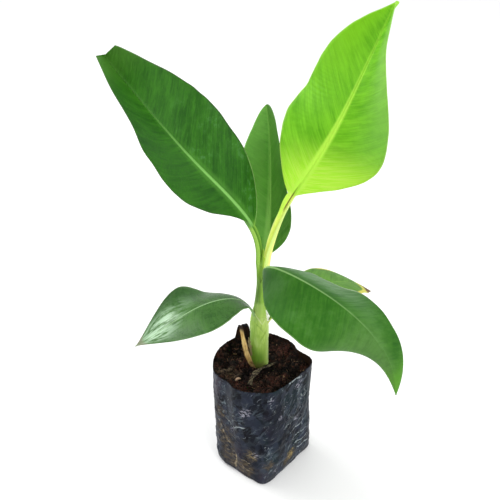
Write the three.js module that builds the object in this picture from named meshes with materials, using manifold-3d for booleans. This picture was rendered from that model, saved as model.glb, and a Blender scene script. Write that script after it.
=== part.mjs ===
// A young banana plant in a black polythene nursery bag: the bag, its fill of soil, the pseudostem with one
// dry sheath beside it, and six leaves, each with its petiole, midrib and blade. Millimetres, +Z up. The origin
// is the middle of the bag's flat underside. The front, which the bright leaf's upper face looks towards, is -Y,
// and the bright leaf leans over +X, its right.
import * as THREE from "three";
import { mergeVertices } from "three/addons/utils/BufferGeometryUtils.js";
import Module from "manifold-3d";

const wasm = await Module();
wasm.setup();

const GAP = 0.3; // what parts that touch keep clear of each other
const STEM_GAP = 0.35; // the same round the stem, before it is faceted
const DEGREE = Math.PI / 180;

// The bag, a film tube with a folded square foot whose corners point left, right, front and back. Its radii are
// given at every 30 degrees from +X round by +Y, at the rim and at the foot.
const bag = {
  height: 129.5,
  film: 1.2,
  floor: 1.6,
  rimRadii: [50.3, 38.6, 42.8, 44.5, 45.8, 48, 49.2, 47, 48.2, 47.2, 40.6, 41.2],
  footRadii: [51, 44, 42, 48.5, 42, 42, 48.6, 40.8, 40, 48.4, 37.4, 39.2],
  cornerShare: 0.45, // how far up the foot's corners still show
  flapRise: 14.5, // the piece of rim that stands up at the back left
  flapAngle: 120,
  flapWidth: 10,
  rimWave: 1.3,
  rimWaves: 3,
  rimWavePhase: 1.2,
  around: 60,
  levels: 7,
};

// The soil lies a little below the rim, level round the stem and in low lumps elsewhere. Two waves make the
// lumps, each given by its radians a millimetre along X and along Y.
const soil = {
  top: 121.6,
  lump: 2,
  levelRadius: 13,
  runIn: 12, // the distance over which the lumps rise
  wave: [0.21, 0.17],
  ripple: [0.4, -0.33],
  rings: 7,
  clearance: 0.6,
};

// The pseudostem's centre and radius at each height above its flat foot.
const stem = {
  sides: 20,
  stations: [
    { above: 0, x: -2.7, y: 7.3, radius: 9.9 },
    { above: 5, x: -2.7, y: 7.1, radius: 9.5 },
    { above: 16, x: -2.7, y: 6.7, radius: 9.2 },
    { above: 44, x: -2.9, y: 5.8, radius: 9 },
    { above: 57, x: -3, y: 5.3, radius: 8.7 },
    { above: 64, x: -3, y: 4.9, radius: 7.5 },
    { above: 71, x: -2.7, y: 4.5, radius: 6.1 },
    { above: 82, x: -1.6, y: 3.9, radius: 5.2 },
    { above: 98, x: -0.5, y: 3.1, radius: 5 },
    { above: 116, x: 0, y: 2.2, radius: 5.2 },
    { above: 125, x: 0.1, y: 1.7, radius: 5.4 },
  ],
};

// Each leaf's rib starts at the stem and runs out by its lean above the level and its heading round from +X,
// in degrees, given at even steps from the stem to the tip. The blade starts at bladeFrom of its length, and
// cut is the share of it that is missing at the tip. Each half of the blade has its width, the place of its
// widest point, the fullness of its shoulder, the taper of its tip, its lift from the rib and its curl from rib
// to margin. Right and left are as seen from the stem, upper face up.
const leaves = {
  bright_leaf: {
    start: [2.8, -0.8, 247],
    length: 253.3,
    bladeFrom: 0.288,
    petiole: 3.6,
    lean: [83.9, 60.9, 68.2, 70],
    heading: [-6.5, -2.6, 1.6, 2.7],
    roll: [-7, -69.8, -39.4, -31.5],
    sweep: [-0.03, 0.03],
    right: {
      width: 52.8, widest: 0.463, shoulder: 1.31, taper: 1.08,
      lift: [1.5, 8.6, 38.7], curl: 2.2,
    },
    left: {
      width: 51.5, widest: 0.507, shoulder: 0.78, taper: 1.03,
      lift: [17.7, -6.9, 30.8], curl: 4.5,
    },
  },
  tall_left_leaf: {
    start: [-3.7, 1.2, 247],
    length: 228.6,
    bladeFrom: 0.165,
    petiole: 2.6,
    cut: 0.05,
    lean: [85.4, 53.2, 54.1, 51.5],
    heading: [189, 189.5, 184.9, 158.1],
    roll: [-4.5, 2.9, 13.3, 21.4],
    sweep: [-0.12, 0.16],
    right: {
      width: 49.2, widest: 0.377, shoulder: 1.1, taper: 0.6,
      lift: [38, 39.7, 58.7], curl: -1.9,
    },
    left: {
      width: 50.2, widest: 0.542, shoulder: 1.27, taper: 0.45,
      lift: [-20, -7.6, 43.5], curl: -0.5,
    },
  },
  middle_leaf: {
    start: [1.2, 4.8, 246.8],
    length: 144,
    bladeFrom: 0.03,
    petiole: 2,
    lean: [53.5, 58.6, 53.9, 44.6],
    heading: [77, 84, 92, 99.6],
    roll: [-2.5, 41],
    sweep: [0.19, -0.12],
    right: {
      width: 33, widest: 0.378, shoulder: 0.83, taper: 0.51,
      lift: [23, 44, 31], curl: -10.5,
    },
    left: {
      width: 33, widest: 0.389, shoulder: 0.82, taper: 0.67,
      lift: [30, 30, 29.5], curl: -3,
    },
  },
  low_left_leaf: {
    start: [-7.3, 1, 186],
    length: 139.3,
    bladeFrom: 0.06,
    petiole: 2,
    lean: [72, 10, -26.7, -30.4],
    heading: [207, 206, 200.5, 189],
    roll: [-2, 13],
    sweep: [-0.07, -0.85],
    right: {
      width: 38.3, widest: 0.656, shoulder: 0.7, taper: 1.27,
      lift: [13, -21, 32], curl: 16,
    },
    left: {
      width: 38.3, widest: 0.637, shoulder: 0.65, taper: 1.28,
      lift: [2, 13, 22], curl: 16,
    },
  },
  low_right_leaf: {
    start: [2, -1.3, 229],
    length: 230.3,
    bladeFrom: 0.143,
    petiole: 2.6,
    lean: [62, 14.9, -26.9, -81],
    heading: [-102.5, -55.2, -34.7, -33],
    roll: [-9.8, -43.3],
    sweep: [-0.27, -0.2],
    right: {
      width: 43.7, widest: 0.544, shoulder: 0.78, taper: 0.76,
      lift: [-40, 8.7, -74.5], curl: 25.5,
    },
    left: {
      width: 43.5, widest: 0.521, shoulder: 0.86, taper: 0.81,
      lift: [-19.6, -46.4, -18.8], curl: 22.4,
    },
  },
  old_back_leaf: {
    start: [5.6, 4.2, 177],
    length: 124.6,
    bladeFrom: 0.183,
    petiole: 2,
    lean: [50, 18.3, -13, -42],
    heading: [22.7, 21.5, 21.8, 19.2],
    roll: [-1, 7],
    sweep: [0.11, -0.03],
    right: {
      width: 28.6, widest: 0.464, shoulder: 0.62, taper: 1.05,
      lift: [15, 8, 5], curl: 21,
    },
    left: {
      width: 28.6, widest: 0.465, shoulder: 0.63, taper: 1.06,
      lift: [13, 13, -1], curl: 22,
    },
  },
};
const blade = {
  stations: 17,
  petioleStations: 5,
  thicknessShare: 0.0105, // of the leaf's length
  tipHalf: 0.9,
  ribShrink: 0.25, // what is left of the petiole's radius at the tip
  root: 9, // how far the petiole runs down into its sheath, where the stem is cut from it
  fineSteps: 12, // steps of the rib's line between two stations
  opensBy: 3, // the petiole becomes a flat blade while it widens by this many rib radii
  petioleColumns: [0, 0.3, 0.6, 0.85, 1], // shares of the half width, from the rib to the margin
  bladeColumns: [0, 0, 0.36, 0.7, 1], // the second one is the rib's own edge
};

// The dry sheath, which still stands off the stem's left front, from its foot to its withered top.
const drySheath = {
  foot: [-8.2, -1.9, 121.9],
  bow: [-16, -2, 139],
  top: [-20.4, 2, 168.5],
  across: [0.88, -0.47, 0],
  width: 6.4,
  thick: 2,
  narrowest: 0.6, // of the width, at its ends
  fullestShift: 0.15,
  steps: 10,
  sides: 10,
};

// Materials
const plain = (hex, roughness) => new THREE.MeshStandardMaterial({ color: hex, roughness, metalness: 0 });
const film = plain(0x25252f, 0.35);
const earth = plain(0x2b1c16, 0.95);
const stalk = plain(0x8fb452, 0.5);
const straw = plain(0xc9a26b, 0.8);
const leafColours = {
  bright_leaf: plain(0x8ede2c, 0.45),
  tall_left_leaf: plain(0x2f7a1f, 0.4),
  middle_leaf: plain(0x3c7f28, 0.4),
  low_left_leaf: plain(0x4b8244, 0.3),
  low_right_leaf: plain(0x3f7f35, 0.4),
  old_back_leaf: plain(0x6aa63d, 0.5),
};

const clamp = THREE.MathUtils.clamp;
const lerp = THREE.MathUtils.lerp;
const ease = (x) => x * x * (3 - 2 * x);
const angleBetween = (a, b) => Math.abs(Math.atan2(Math.sin(a - b), Math.cos(a - b)));

// The smooth curve through four neighbouring values, at f between the second and the third.
function through(a, b, c, d, f) {
  return 0.5 * (2 * b + (c - a) * f + (2 * a - 5 * b + 4 * c - d) * f * f + (3 * b - a - 3 * c + d) * f ** 3);
}

// A value that runs smoothly through evenly spaced keys, at t from 0 to 1.
function along(keys, t) {
  const last = keys.length - 1;
  const place = clamp(t, 0, 1) * last;
  const i = Math.min(Math.floor(place), last - 1);
  return through(keys[Math.max(i - 1, 0)], keys[i], keys[i + 1], keys[Math.min(i + 2, last)], place - i);
}

// The same round a closed loop of keys, at an angle.
function around(keys, angle) {
  const n = keys.length;
  const place = (((angle / (2 * Math.PI)) % 1) + 1) * n;
  const i = Math.floor(place);
  return through(keys[(i - 1) % n], keys[i % n], keys[(i + 1) % n], keys[(i + 2) % n], place - i);
}

// Rings of equal length, joined into a skin and closed by a fan at each end, as a manifold-3d solid.
function ringSolid(rings) {
  const points = rings.flat();
  const n = rings[0].length;
  const index = [];
  for (let i = 0; i + 1 < rings.length; i++) {
    for (let j = 0; j < n; j++) {
      const [a, b] = [i * n + j, i * n + ((j + 1) % n)];
      index.push(a, b, b + n, a, b + n, a + n);
    }
  }
  const ends = [{ row: 0, first: 1 }, { row: rings.length - 1, first: 0 }];
  for (const { row, first } of ends) {
    const centre = new THREE.Vector3();
    rings[row].forEach((p) => centre.addScaledVector(p, 1 / n));
    points.push(centre);
    for (let j = 0; j < n; j++) {
      const edge = [row * n + j, row * n + ((j + 1) % n)];
      index.push(points.length - 1, edge[first], edge[1 - first]);
    }
  }
  const merged = mergeVertices(new THREE.BufferGeometry().setFromPoints(points).setIndex(index), 1e-4);
  const vertProperties = merged.attributes.position.array;
  const triVerts = new Uint32Array(merged.index.array);
  return new wasm.Manifold(new wasm.Mesh({ numProp: 3, vertProperties, triVerts }));
}

// A solid as a named mesh.
function meshOf(name, solid, material) {
  const { vertProperties, triVerts } = solid.getMesh();
  const geometry = new THREE.BufferGeometry()
    .setAttribute("position", new THREE.BufferAttribute(new Float32Array(vertProperties), 3))
    .setIndex(new THREE.BufferAttribute(new Uint32Array(triVerts), 1));
  geometry.computeVertexNormals();
  const mesh = new THREE.Mesh(geometry, material);
  mesh.name = name;
  return mesh;
}

// The bag's outer radius at an angle and a share of its height.
function bagRadius(angle, share) {
  return lerp(around(bag.footRadii, angle), around(bag.rimRadii, angle), share ** bag.cornerShare);
}

function rimHeight(angle) {
  const off = angleBetween(angle, bag.flapAngle * DEGREE) / (bag.flapWidth * DEGREE);
  const wave = bag.rimWave * Math.sin(bag.rimWaves * angle + bag.rimWavePhase);
  return bag.height + wave + bag.flapRise * Math.exp(-(off ** 4));
}

// One level of the bag, its radius drawn in by inset.
function bagRing(share, inset, heightAt) {
  return Array.from({ length: bag.around }, (_, j) => {
    const angle = (j / bag.around) * 2 * Math.PI;
    const radius = bagRadius(angle, share) - inset;
    return new THREE.Vector3(radius * Math.cos(angle), radius * Math.sin(angle), heightAt(angle));
  });
}

// The bag: up the outside from the foot, over the rim and down the inside to the floor.
function bagSolid() {
  const shares = Array.from({ length: bag.levels + 1 }, (_, i) => i / bag.levels);
  const outside = shares.map((share) => bagRing(share, 0, (angle) => share * rimHeight(angle)));
  const inside = shares.map((share) =>
    bagRing(share, bag.film, (angle) => Math.max(share * rimHeight(angle), bag.floor)),
  );
  return ringSolid([...outside, ...inside.reverse()]);
}

function soilHeight(x, y) {
  const away = Math.hypot(x - stem.stations[0].x, y - stem.stations[0].y);
  const wave = Math.sin(x * soil.wave[0] + 1) * Math.cos(y * soil.wave[1]);
  const ripple = Math.sin(x * soil.ripple[0] + y * soil.ripple[1]) / 2;
  return soil.top + soil.lump * (wave + ripple) * ease(clamp((away - soil.levelRadius) / soil.runIn, 0, 1));
}

// The soil fills the bag, a gap inside its film.
function soilSolid() {
  const inset = bag.film + soil.clearance;
  const levels = bag.levels - 1;
  const rings = [bagRing(0, inset, () => bag.floor + GAP)];
  for (let i = 1; i < levels; i++) {
    const share = i / bag.levels;
    rings.push(bagRing(share, inset, (angle) => share * rimHeight(angle)));
  }
  const rim = bagRing(soil.top / bag.height, inset + GAP, () => soil.top);
  const { x: cx, y: cy } = stem.stations[0];
  for (let i = soil.rings; i >= 1; i--) {
    const reach = i / soil.rings;
    rings.push(
      rim.map((p) => {
        const [x, y] = [cx + (p.x - cx) * reach, cy + (p.y - cy) * reach];
        return new THREE.Vector3(x, y, soilHeight(x, y));
      }),
    );
  }
  return ringSolid(rings);
}

// The pseudostem, from its flat foot at the soil to the crown of petioles, or the same grown by a margin.
function stemSolid(grow = 0) {
  const foot = soil.top + GAP;
  const rings = stem.stations.map(({ above, x, y, radius }, i) => {
    const z = foot + above + (i === stem.stations.length - 1 ? grow : 0);
    const r = radius + grow;
    return Array.from({ length: stem.sides }, (_, j) => {
      const angle = (j / stem.sides) * 2 * Math.PI;
      return new THREE.Vector3(x + r * Math.cos(angle), y + r * Math.sin(angle), z);
    });
  });
  return ringSolid(rings);
}

// The rib's direction at t.
function ribDirection(leaf, t) {
  const lean = along(leaf.lean, t) * DEGREE;
  const heading = along(leaf.heading, t) * DEGREE;
  const level = Math.cos(lean);
  return new THREE.Vector3(level * Math.cos(heading), level * Math.sin(heading), Math.sin(lean));
}

// The rib's frames at the times given: its point, its direction ahead, the blade's right side and its upper
// face.
function ribFrames(leaf, times) {
  const point = new THREE.Vector3(...leaf.start);
  let reached = 0;
  return times.map((t) => {
    const step = (t - reached) / blade.fineSteps;
    for (let k = 0; k < blade.fineSteps; k++) {
      point.addScaledVector(ribDirection(leaf, reached + (k + 0.5) * step), step * leaf.length);
    }
    reached = t;
    const ahead = ribDirection(leaf, t);
    const heading = along(leaf.heading, t) * DEGREE;
    const side = new THREE.Vector3(Math.sin(heading), -Math.cos(heading), 0);
    side.applyAxisAngle(ahead, -along(leaf.roll, t) * DEGREE);
    const face = new THREE.Vector3().crossVectors(side, ahead);
    return { t, point: point.clone(), ahead, side, face };
  });
}

// The half blade's width, as a share of its widest, at u from its base to its tip.
function outline(u, { widest, shoulder, taper }) {
  const v = u ** (Math.log(0.5) / Math.log(widest));
  return Math.max(Math.sin(Math.PI * v), 0) ** (shoulder + (taper - shoulder) * v);
}

// One station of a leaf: a ring that runs over the upper face from left to right and back under the lower one.
// Its lower side swells into the rib, which is the whole of it along the petiole.
function leafRing(leaf, frame) {
  const half = (leaf.length * blade.thicknessShare) / 2;
  const ribRadius = leaf.petiole * lerp(1, blade.ribShrink, frame.t);
  const u = clamp((frame.t - leaf.bladeFrom) / (1 - leaf.bladeFrom), 0, 1);
  const upper = [];
  const lower = [];
  for (const hand of [-1, 1]) {
    const shape = hand < 0 ? leaf.left : leaf.right;
    const flat = shape.width * outline(u * (1 - (leaf.cut ?? 0)), shape);
    const width = Math.max(flat, u < 0.5 ? ribRadius : blade.tipHalf);
    const lift = along(shape.lift, u) * DEGREE;
    const curl = shape.curl * DEGREE;
    const open = clamp((width / ribRadius - 1) / blade.opensBy, 0, 1);
    const sweep = along(leaf.sweep, u) * width * (u > 0 ? 1 : 0);
    const columns = blade.petioleColumns.map((narrow, k) =>
      lerp(narrow, k === 1 ? ribRadius / width : blade.bladeColumns[k], open),
    );
    for (const share of hand < 0 ? columns.toReversed() : columns.slice(1)) {
      const tilt = lift - curl * share;
      const point = frame.point
        .clone()
        .addScaledVector(frame.side, (hand * width * (Math.sin(lift) - Math.sin(tilt))) / curl)
        .addScaledVector(frame.face, (width * (Math.cos(tilt) - Math.cos(lift))) / curl)
        .addScaledVector(frame.ahead, sweep * share * share);
      const normal = frame.face.clone().multiplyScalar(Math.cos(share ? tilt : 0));
      normal.addScaledVector(frame.side, -hand * Math.sin(share ? tilt : 0));
      const swell = ribRadius * Math.sqrt(Math.max(1 - ((share * width) / ribRadius) ** 2, 0));
      upper.push(point.clone().addScaledVector(normal, half));
      lower.push(point.clone().addScaledVector(normal, -half - swell));
    }
  }
  return [...upper, ...lower.reverse()];
}

// A whole leaf, from its root in the stem to its tip.
function leafSolid(leaf) {
  const times = [0];
  for (let i = 1; i < blade.petioleStations; i++) times.push((leaf.bladeFrom * i) / blade.petioleStations);
  for (let i = 0; i <= blade.stations; i++) {
    const u = 0.5 - 0.5 * Math.cos((Math.PI * i) / blade.stations); // closer together at both ends
    times.push(lerp(leaf.bladeFrom, 1, u));
  }
  const frames = ribFrames(leaf, times);
  const rings = frames.map((frame) => leafRing(leaf, frame));
  const rootStep = frames[0].ahead.clone().multiplyScalar(-blade.root);
  const root = rings[0].map((p) => p.clone().add(rootStep));
  return ringSolid([root, ...rings]);
}

// The dry sheath: a flat oval strip along a bent line, fullest below its middle.
function drySheathSolid() {
  const [foot, bow, top, across] = [drySheath.foot, drySheath.bow, drySheath.top, drySheath.across].map(
    (numbers) => new THREE.Vector3(...numbers),
  );
  const line = new THREE.QuadraticBezierCurve3(foot, bow, top);
  const deep = new THREE.Vector3().crossVectors(new THREE.Vector3(0, 0, 1), across);
  const rings = Array.from({ length: drySheath.steps + 1 }, (_, i) => {
    const share = i / drySheath.steps;
    const fullness = Math.sin(Math.PI * Math.min(share + drySheath.fullestShift, 1));
    const full = lerp(drySheath.narrowest, 1, fullness);
    return Array.from({ length: drySheath.sides }, (_, j) => {
      const angle = (j / drySheath.sides) * 2 * Math.PI;
      return line
        .getPoint(share)
        .addScaledVector(across, (drySheath.width / 2) * full * Math.cos(angle))
        .addScaledVector(deep, (drySheath.thick / 2) * full * Math.sin(angle));
    });
  });
  return ringSolid(rings);
}

const plant = new THREE.Group();
plant.add(meshOf("grow_bag", bagSolid(), film));
plant.add(meshOf("soil_fill", soilSolid(), earth));
plant.add(meshOf("pseudostem", stemSolid(), stalk));
const besideStem = stemSolid(STEM_GAP);
plant.add(meshOf("dry_sheath", drySheathSolid().subtract(besideStem), straw));
for (const [name, leaf] of Object.entries(leaves)) {
  plant.add(meshOf(name, leafSolid(leaf).subtract(besideStem), leafColours[name]));
}

export default plant;
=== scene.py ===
import math

import bpy
import numpy as np
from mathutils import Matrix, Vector, noise


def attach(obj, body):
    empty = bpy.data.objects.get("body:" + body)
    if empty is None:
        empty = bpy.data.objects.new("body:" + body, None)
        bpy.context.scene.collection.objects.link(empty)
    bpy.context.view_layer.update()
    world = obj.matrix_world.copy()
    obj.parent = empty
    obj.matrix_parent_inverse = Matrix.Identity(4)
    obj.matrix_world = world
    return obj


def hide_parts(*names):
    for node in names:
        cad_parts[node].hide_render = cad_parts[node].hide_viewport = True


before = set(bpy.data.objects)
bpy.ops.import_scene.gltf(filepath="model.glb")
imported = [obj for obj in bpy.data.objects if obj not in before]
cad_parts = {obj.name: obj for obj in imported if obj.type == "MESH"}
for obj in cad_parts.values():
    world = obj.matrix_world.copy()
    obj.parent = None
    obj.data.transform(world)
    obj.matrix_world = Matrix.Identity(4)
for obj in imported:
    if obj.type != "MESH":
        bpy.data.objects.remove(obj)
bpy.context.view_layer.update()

# A young banana plant in a black nursery bag, as it is put together: the bag, its fill of soil, the
# pseudostem, a dry sheath, then the leaves from the lowest to the newest. Sizes are in millimetres, as in the
# part's source, and become metres where a mesh is made. Materials work in metres.

# THE BAG
# A tube of thin black polythene with a gusseted square foot, filled by hand, so that it bulges and creases.
# Its rim was torn along one side, where a flap of film still stands up.


class Wire:
    """A number on a socket. An expression on it adds the Math nodes that work it out."""

    def __init__(self, finish, socket):
        self.finish = finish
        self.socket = socket

    def maths(self, operation, *values):
        return self.finish.node("Math", {"operation": operation}, dict(enumerate(values)))

    def __abs__(self):
        return self.maths("ABSOLUTE", self)

    def rise(self, low, high):
        """0 below low and 1 above high, with a soft ramp between them."""
        sockets = {"Value": self, "From Min": low, "From Max": high}
        return self.finish.node("MapRange", {"interpolation_type": "SMOOTHSTEP"}, sockets)

    def fall(self, low, high):
        return 1 - self.rise(low, high)


for sign, operation in (("add", "ADD"), ("sub", "SUBTRACT"), ("mul", "MULTIPLY")):
    setattr(Wire, f"__{sign}__", lambda self, other, op=operation: self.maths(op, self, other))
    setattr(Wire, f"__r{sign}__", lambda self, other, op=operation: self.maths(op, other, self))


class Finish:
    """A material whose nodes are added one by one. Colours are as they show on a screen, from 0 to 255."""

    def __init__(self, name):
        self.material = bpy.data.materials.new(name)
        self.material.use_nodes = True
        self.tree = self.material.node_tree
        self.tree.nodes.clear()

    def node(self, kind, settings, sockets, out=None):
        """Adds a node: its settings, then what its sockets hold. The answer is the Wire of one output."""
        made = self.tree.nodes.new("ShaderNode" + kind)
        for key, value in settings.items():
            setattr(made, key, value)
        for key, value in sockets.items():
            if isinstance(key, int):
                socket = made.inputs[key]
            else:
                socket = next(s for s in made.inputs if s.name == key and s.enabled)
            if isinstance(value, Wire):
                self.tree.links.new(value.socket, socket)
            else:
                socket.default_value = value
        found = [s for s in made.outputs if s.enabled and out in (None, s.name)]
        return Wire(self, found[0]) if found else None

    def place(self):
        """Where a point is on the plant, in metres."""
        return self.node("TexCoord", {}, {}, "Object")

    def value(self, name):
        """A number that the mesh carries at each vertex."""
        return self.node("Attribute", {"attribute_name": name}, {}, "Fac")

    def parts(self, name):
        """The three numbers of a vector that the mesh carries."""
        return self.axes(self.node("Attribute", {"attribute_name": name}, {}, "Vector"))

    def axes(self, vector):
        """The three numbers of a vector."""
        x = self.node("SeparateXYZ", {}, {0: vector})
        return [Wire(self, socket) for socket in x.socket.node.outputs]

    def point(self, x, y, z):
        return self.node("CombineXYZ", {}, {0: x, 1: y, 2: z})

    def stretched(self, vector, up):
        """Places with their height times a number: a pattern there is drawn out upwards where it is small."""
        return self.node("VectorMath", {"operation": "MULTIPLY"}, {0: vector, 1: (1, 1, up)})

    def distance(self, vector, place):
        return self.node("VectorMath", {"operation": "DISTANCE"}, {0: vector, 1: place})

    def grain(self, vector, scale, detail=3.0, rough=0.55, up=1):
        """Noise, about 0.5 in the middle."""
        vector = vector if up == 1 else self.stretched(vector, up)
        sockets = {"Vector": vector, "Scale": scale, "Detail": detail, "Roughness": rough}
        return self.node("TexNoise", {}, sockets)

    def cells(self, vector, scale, out="Distance"):
        """How far each place is from the middle of its cell."""
        return self.node("TexVoronoi", {}, {"Vector": vector, "Scale": scale}, out)

    def facets(self, vector, scale):
        """A number for each cell, the same all over it."""
        return self.cells(vector, scale, "Color")

    def mix(self, factor, one, other):
        """Colour one where factor is 0 and the other where it is 1."""
        one, other = [c if isinstance(c, Wire) else linear(*c) for c in (one, other)]
        return self.node("Mix", {"data_type": "RGBA"}, {"Factor": factor, "A": one, "B": other})

    def over(self, colour, *coats):
        """A colour under coats laid on in turn. Each coat is how far it covers and its own colour."""
        for cover, coat in coats:
            colour = self.mix(cover, colour, coat)
        return colour

    def bump(self, height, distance, strength):
        return self.node("Bump", {}, {"Height": height, "Distance": distance, "Strength": strength})

    def skin(self, colour, roughness, lustre, relief, **more):
        """A surface. Lustre is how much light it throws back, and more is any other sockets."""
        main = {"Base Color": colour, "Roughness": roughness, "Specular IOR Level": lustre, "Normal": relief}
        return self.node("BsdfPrincipled", {}, {**main, **more})

    def out(self, shader):
        self.node("OutputMaterial", {}, {"Surface": shader})
        return self.material


def linear(*shown):
    """The render's own numbers for a colour as it shows on a screen."""
    return (*[c / 255 / 12.92 if c < 10 else ((c / 255 + 0.055) / 1.055) ** 2.4 for c in shown], 1)


def lerp(a, b, share):
    return a + (b - a) * share


def ease(x):
    x = np.clip(x, 0, 1)
    return x * x * (3 - 2 * x)


def hump(off, width):
    """1 where off is 0, and next to nothing at twice the width."""
    return np.exp(-((off / width) ** 2))


def xyz(x, y, z):
    """Points from their three numbers, any of which may be the same for all."""
    return np.stack(np.broadcast_arrays(x, y, z), axis=-1)


def on_circle(radius, angle, height):
    return xyz(radius * np.cos(angle), radius * np.sin(angle), height)


def whole_turn(count):
    return np.linspace(0, 2 * np.pi, count, endpoint=False)


def rough(points, size, seed, detail=1):
    """Noise at each point, from about -1 to 1, with lumps of the given size in millimetres."""
    shift = Vector((seed * 17.3, seed * 5.1, -seed * 9.7))
    flat = np.asarray(points, float).reshape(-1, 3) / size
    if detail == 1:
        found = [noise.noise(Vector(p) + shift) for p in flat.tolist()]
    else:
        found = [noise.fractal(Vector(p) + shift, 0.6, 2.1, detail) for p in flat.tolist()]
    return np.array(found).reshape(np.shape(points)[:-1])


def piece(name, points, faces, material, numbers={}):
    """A mesh piece that rides on the plant, from points in millimetres. Its vertices carry the numbers."""
    mesh = bpy.data.meshes.new(name)
    mesh.from_pydata((np.asarray(points, float).reshape(-1, 3) / 1000).tolist(), [], faces)
    for key, values in numbers.items():
        values = np.asarray(values, float)
        kind, field = ("FLOAT_VECTOR", "vector") if values.ndim == 2 else ("FLOAT", "value")
        mesh.attributes.new(key, kind, "POINT").data.foreach_set(field, values.ravel())
    mesh.shade_smooth()
    mesh.materials.append(material)
    made = bpy.data.objects.new(name, mesh)
    bpy.context.scene.collection.objects.link(made)
    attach(made, "root")
    return made


def tube(rings, first=0):
    """The points and faces of rings joined into a closed skin, with a fan at each end."""
    rings = np.asarray(rings, float)
    rows, columns = rings.shape[:2]
    points = np.concatenate([rings.reshape(-1, 3), rings[:1].mean(axis=1), rings[-1:].mean(axis=1)])
    i, j = np.meshgrid(np.arange(rows - 1) * columns, np.arange(columns), indexing="ij")
    k = (j + 1) % columns
    quads = np.stack([i + j, i + k, i + columns + k, i + columns + j], axis=-1)
    faces = (quads.reshape(-1, 4) + first).tolist()
    low, last = first + rows * columns, first + (rows - 1) * columns
    for j in range(columns):
        k = (j + 1) % columns
        faces.append([low, first + k, first + j])
        faces.append([low + 1, last + j, last + k])
    return points, faces


BAG_HEIGHT = 129.5
FILM = 0.35
GIRTH_RADIUS = 46  # by which lengths round the film are measured
NOISE_RADIUS = 50  # of the circle that the film's noise is read on
# Radii of the rim and of the foot, each at an angle in degrees round the bag from its right.
RIM_RADII = [
    (0, 51.2), (8, 45.5), (22, 39), (47, 42.7), (64, 43.5), (80, 44.5), (106, 43.9), (132, 43.9),
    (148, 46.6), (163, 48.3), (185, 49.8), (198, 50.4), (206, 49), (224, 45.6), (236, 49.5), (250, 49.1),
    (262, 46.9), (279, 46.8), (293, 43.2), (308, 40.3), (335, 42.7), (350, 48.5),
]
FOOT_RADII = [
    (8, 51), (16, 54.2), (24, 51.2), (34, 44.5), (48, 40.5), (68, 42), (90, 48.5), (112, 42), (138, 40),
    (165, 44), (182, 47.6), (190, 47.6), (202, 42.4), (221, 38.4), (242, 38.9), (258, 42.2), (269, 47.9),
    (273, 48), (283, 44.4), (298, 38), (321, 35.3), (340, 37.6), (349, 39.4),
]
CORNER_SHARE = 0.45
FLAP_RISE, FLAP_ANGLE, FLAP_HALF = 14.5, 117, GIRTH_RADIUS * math.radians(10.5)
# Where the filled bag swells out or in: by how much, about which height and angle, and how tall and wide.
SWELLS = [(4.2, 36, 9, 46, 13), (-1.0, 40, 187, 50, 10)]
# Creases pressed into the film: where each starts and ends, as an angle and a height, then how wide, how deep
# and how worn it is.
CREASES = [
    (213, 75, 226, 71, 1.5, 0.9, 0.8), (226, 71, 250, 80, 1.7, 1.0, 0.8), (200, 67, 211, 51, 1.7, 0.9, 0.9),
    (211, 51, 222, 36, 1.8, 0.9, 0.9), (231, 32, 226, 1, 2.3, 1.1, 1.0), (236, 20, 259, 11, 1.1, 0.6, 0.9),
    (240, 29, 255, 26, 1.1, 0.5, 0.8), (196, 28, 200, 9, 1.1, 0.5, 0.6),
    (275, 117, 286, 123, 1.1, 0.6, 1.0), (316, 54, 352, 56, 1.2, 0.8, 0.9),
    (321, 41, 356, 42, 1.2, 0.8, 1.0), (329, 29, 358, 30, 1.2, 0.8, 1.0), (338, 20, 362, 18, 1.2, 0.7, 0.9),
    (302, 67, 321, 71, 1.1, 0.5, 0.7), (330, 77, 342, 83, 1.1, 0.6, 0.8),
    (308, 128, 338, 126, 1.5, 0.2, 1.0), (343, 109, 347, 86, 1.6, 1.0, 0.6),
    (339, 105, 337, 89, 1.3, 0.7, 0.5), (260, 70, 290, 61, 1.1, 0.4, 0.4),
    (272, 56, 285, 50, 1.0, 0.3, 0.6), (276, 46, 286, 42, 1.0, 0.3, 0.6), (262, 60, 300, 52, 2.6, 1.2, 0.1),
    (345, 48, 358, 92, 1.8, 1.0, 0.7), (268, 96, 276, 70, 3.2, 1.2, 0.1), (60, 30, 96, 60, 2.4, 1.2, 0.5),
    (110, 90, 150, 70, 2.4, 1.2, 0.4), (20, 80, 48, 96, 2.0, 1.1, 0.6), (150, 40, 176, 28, 2.0, 1.1, 0.6),
    (84, 108, 120, 100, 1.8, 1.0, 0.5), (28, 24, 52, 44, 2.0, 1.0, 0.6), (72, 90, 100, 84, 1.2, 0.6, 0.9),
    (130, 50, 150, 52, 1.2, 0.6, 0.9), (160, 96, 180, 104, 1.3, 0.7, 0.8),
]
# Patches where the film's crinkles are painted with white glints, and where mud has dried on it: an angle, a
# height and a size.
GLINT_PATCHES = [
    (251, 103, 7), (246, 97, 5), (281, 117, 4.5), (333, 119, 6), (326, 117, 4), (295, 89, 4), (329, 71, 5),
    (290, 12, 4), (262, 42, 5), (228, 66, 5), (306, 100, 5), (60, 70, 7), (120, 40, 8), (20, 50, 6),
]
MUD = [
    (257, 40, 9), (247, 14, 12), (212, 50, 16), (222, 20, 15), (323, 20, 8), (205, 80, 9), (312, 14, 6),
    (280, 26, 7), (90, 14, 14), (150, 20, 14), (40, 16, 12),
]


def corners(keys, angle):
    """A value given at angles in degrees round the bag, with each corner just rounded."""
    degrees, values = zip(*keys)
    near = [np.degrees(angle) + off for off in (-4.5, -1.5, 1.5, 4.5)]
    return sum(np.interp(place, degrees, values, period=360) for place in near) / 4


def bag_radius(angle, share):
    return lerp(corners(FOOT_RADII, angle), corners(RIM_RADII, angle), share**CORNER_SHARE)


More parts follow.
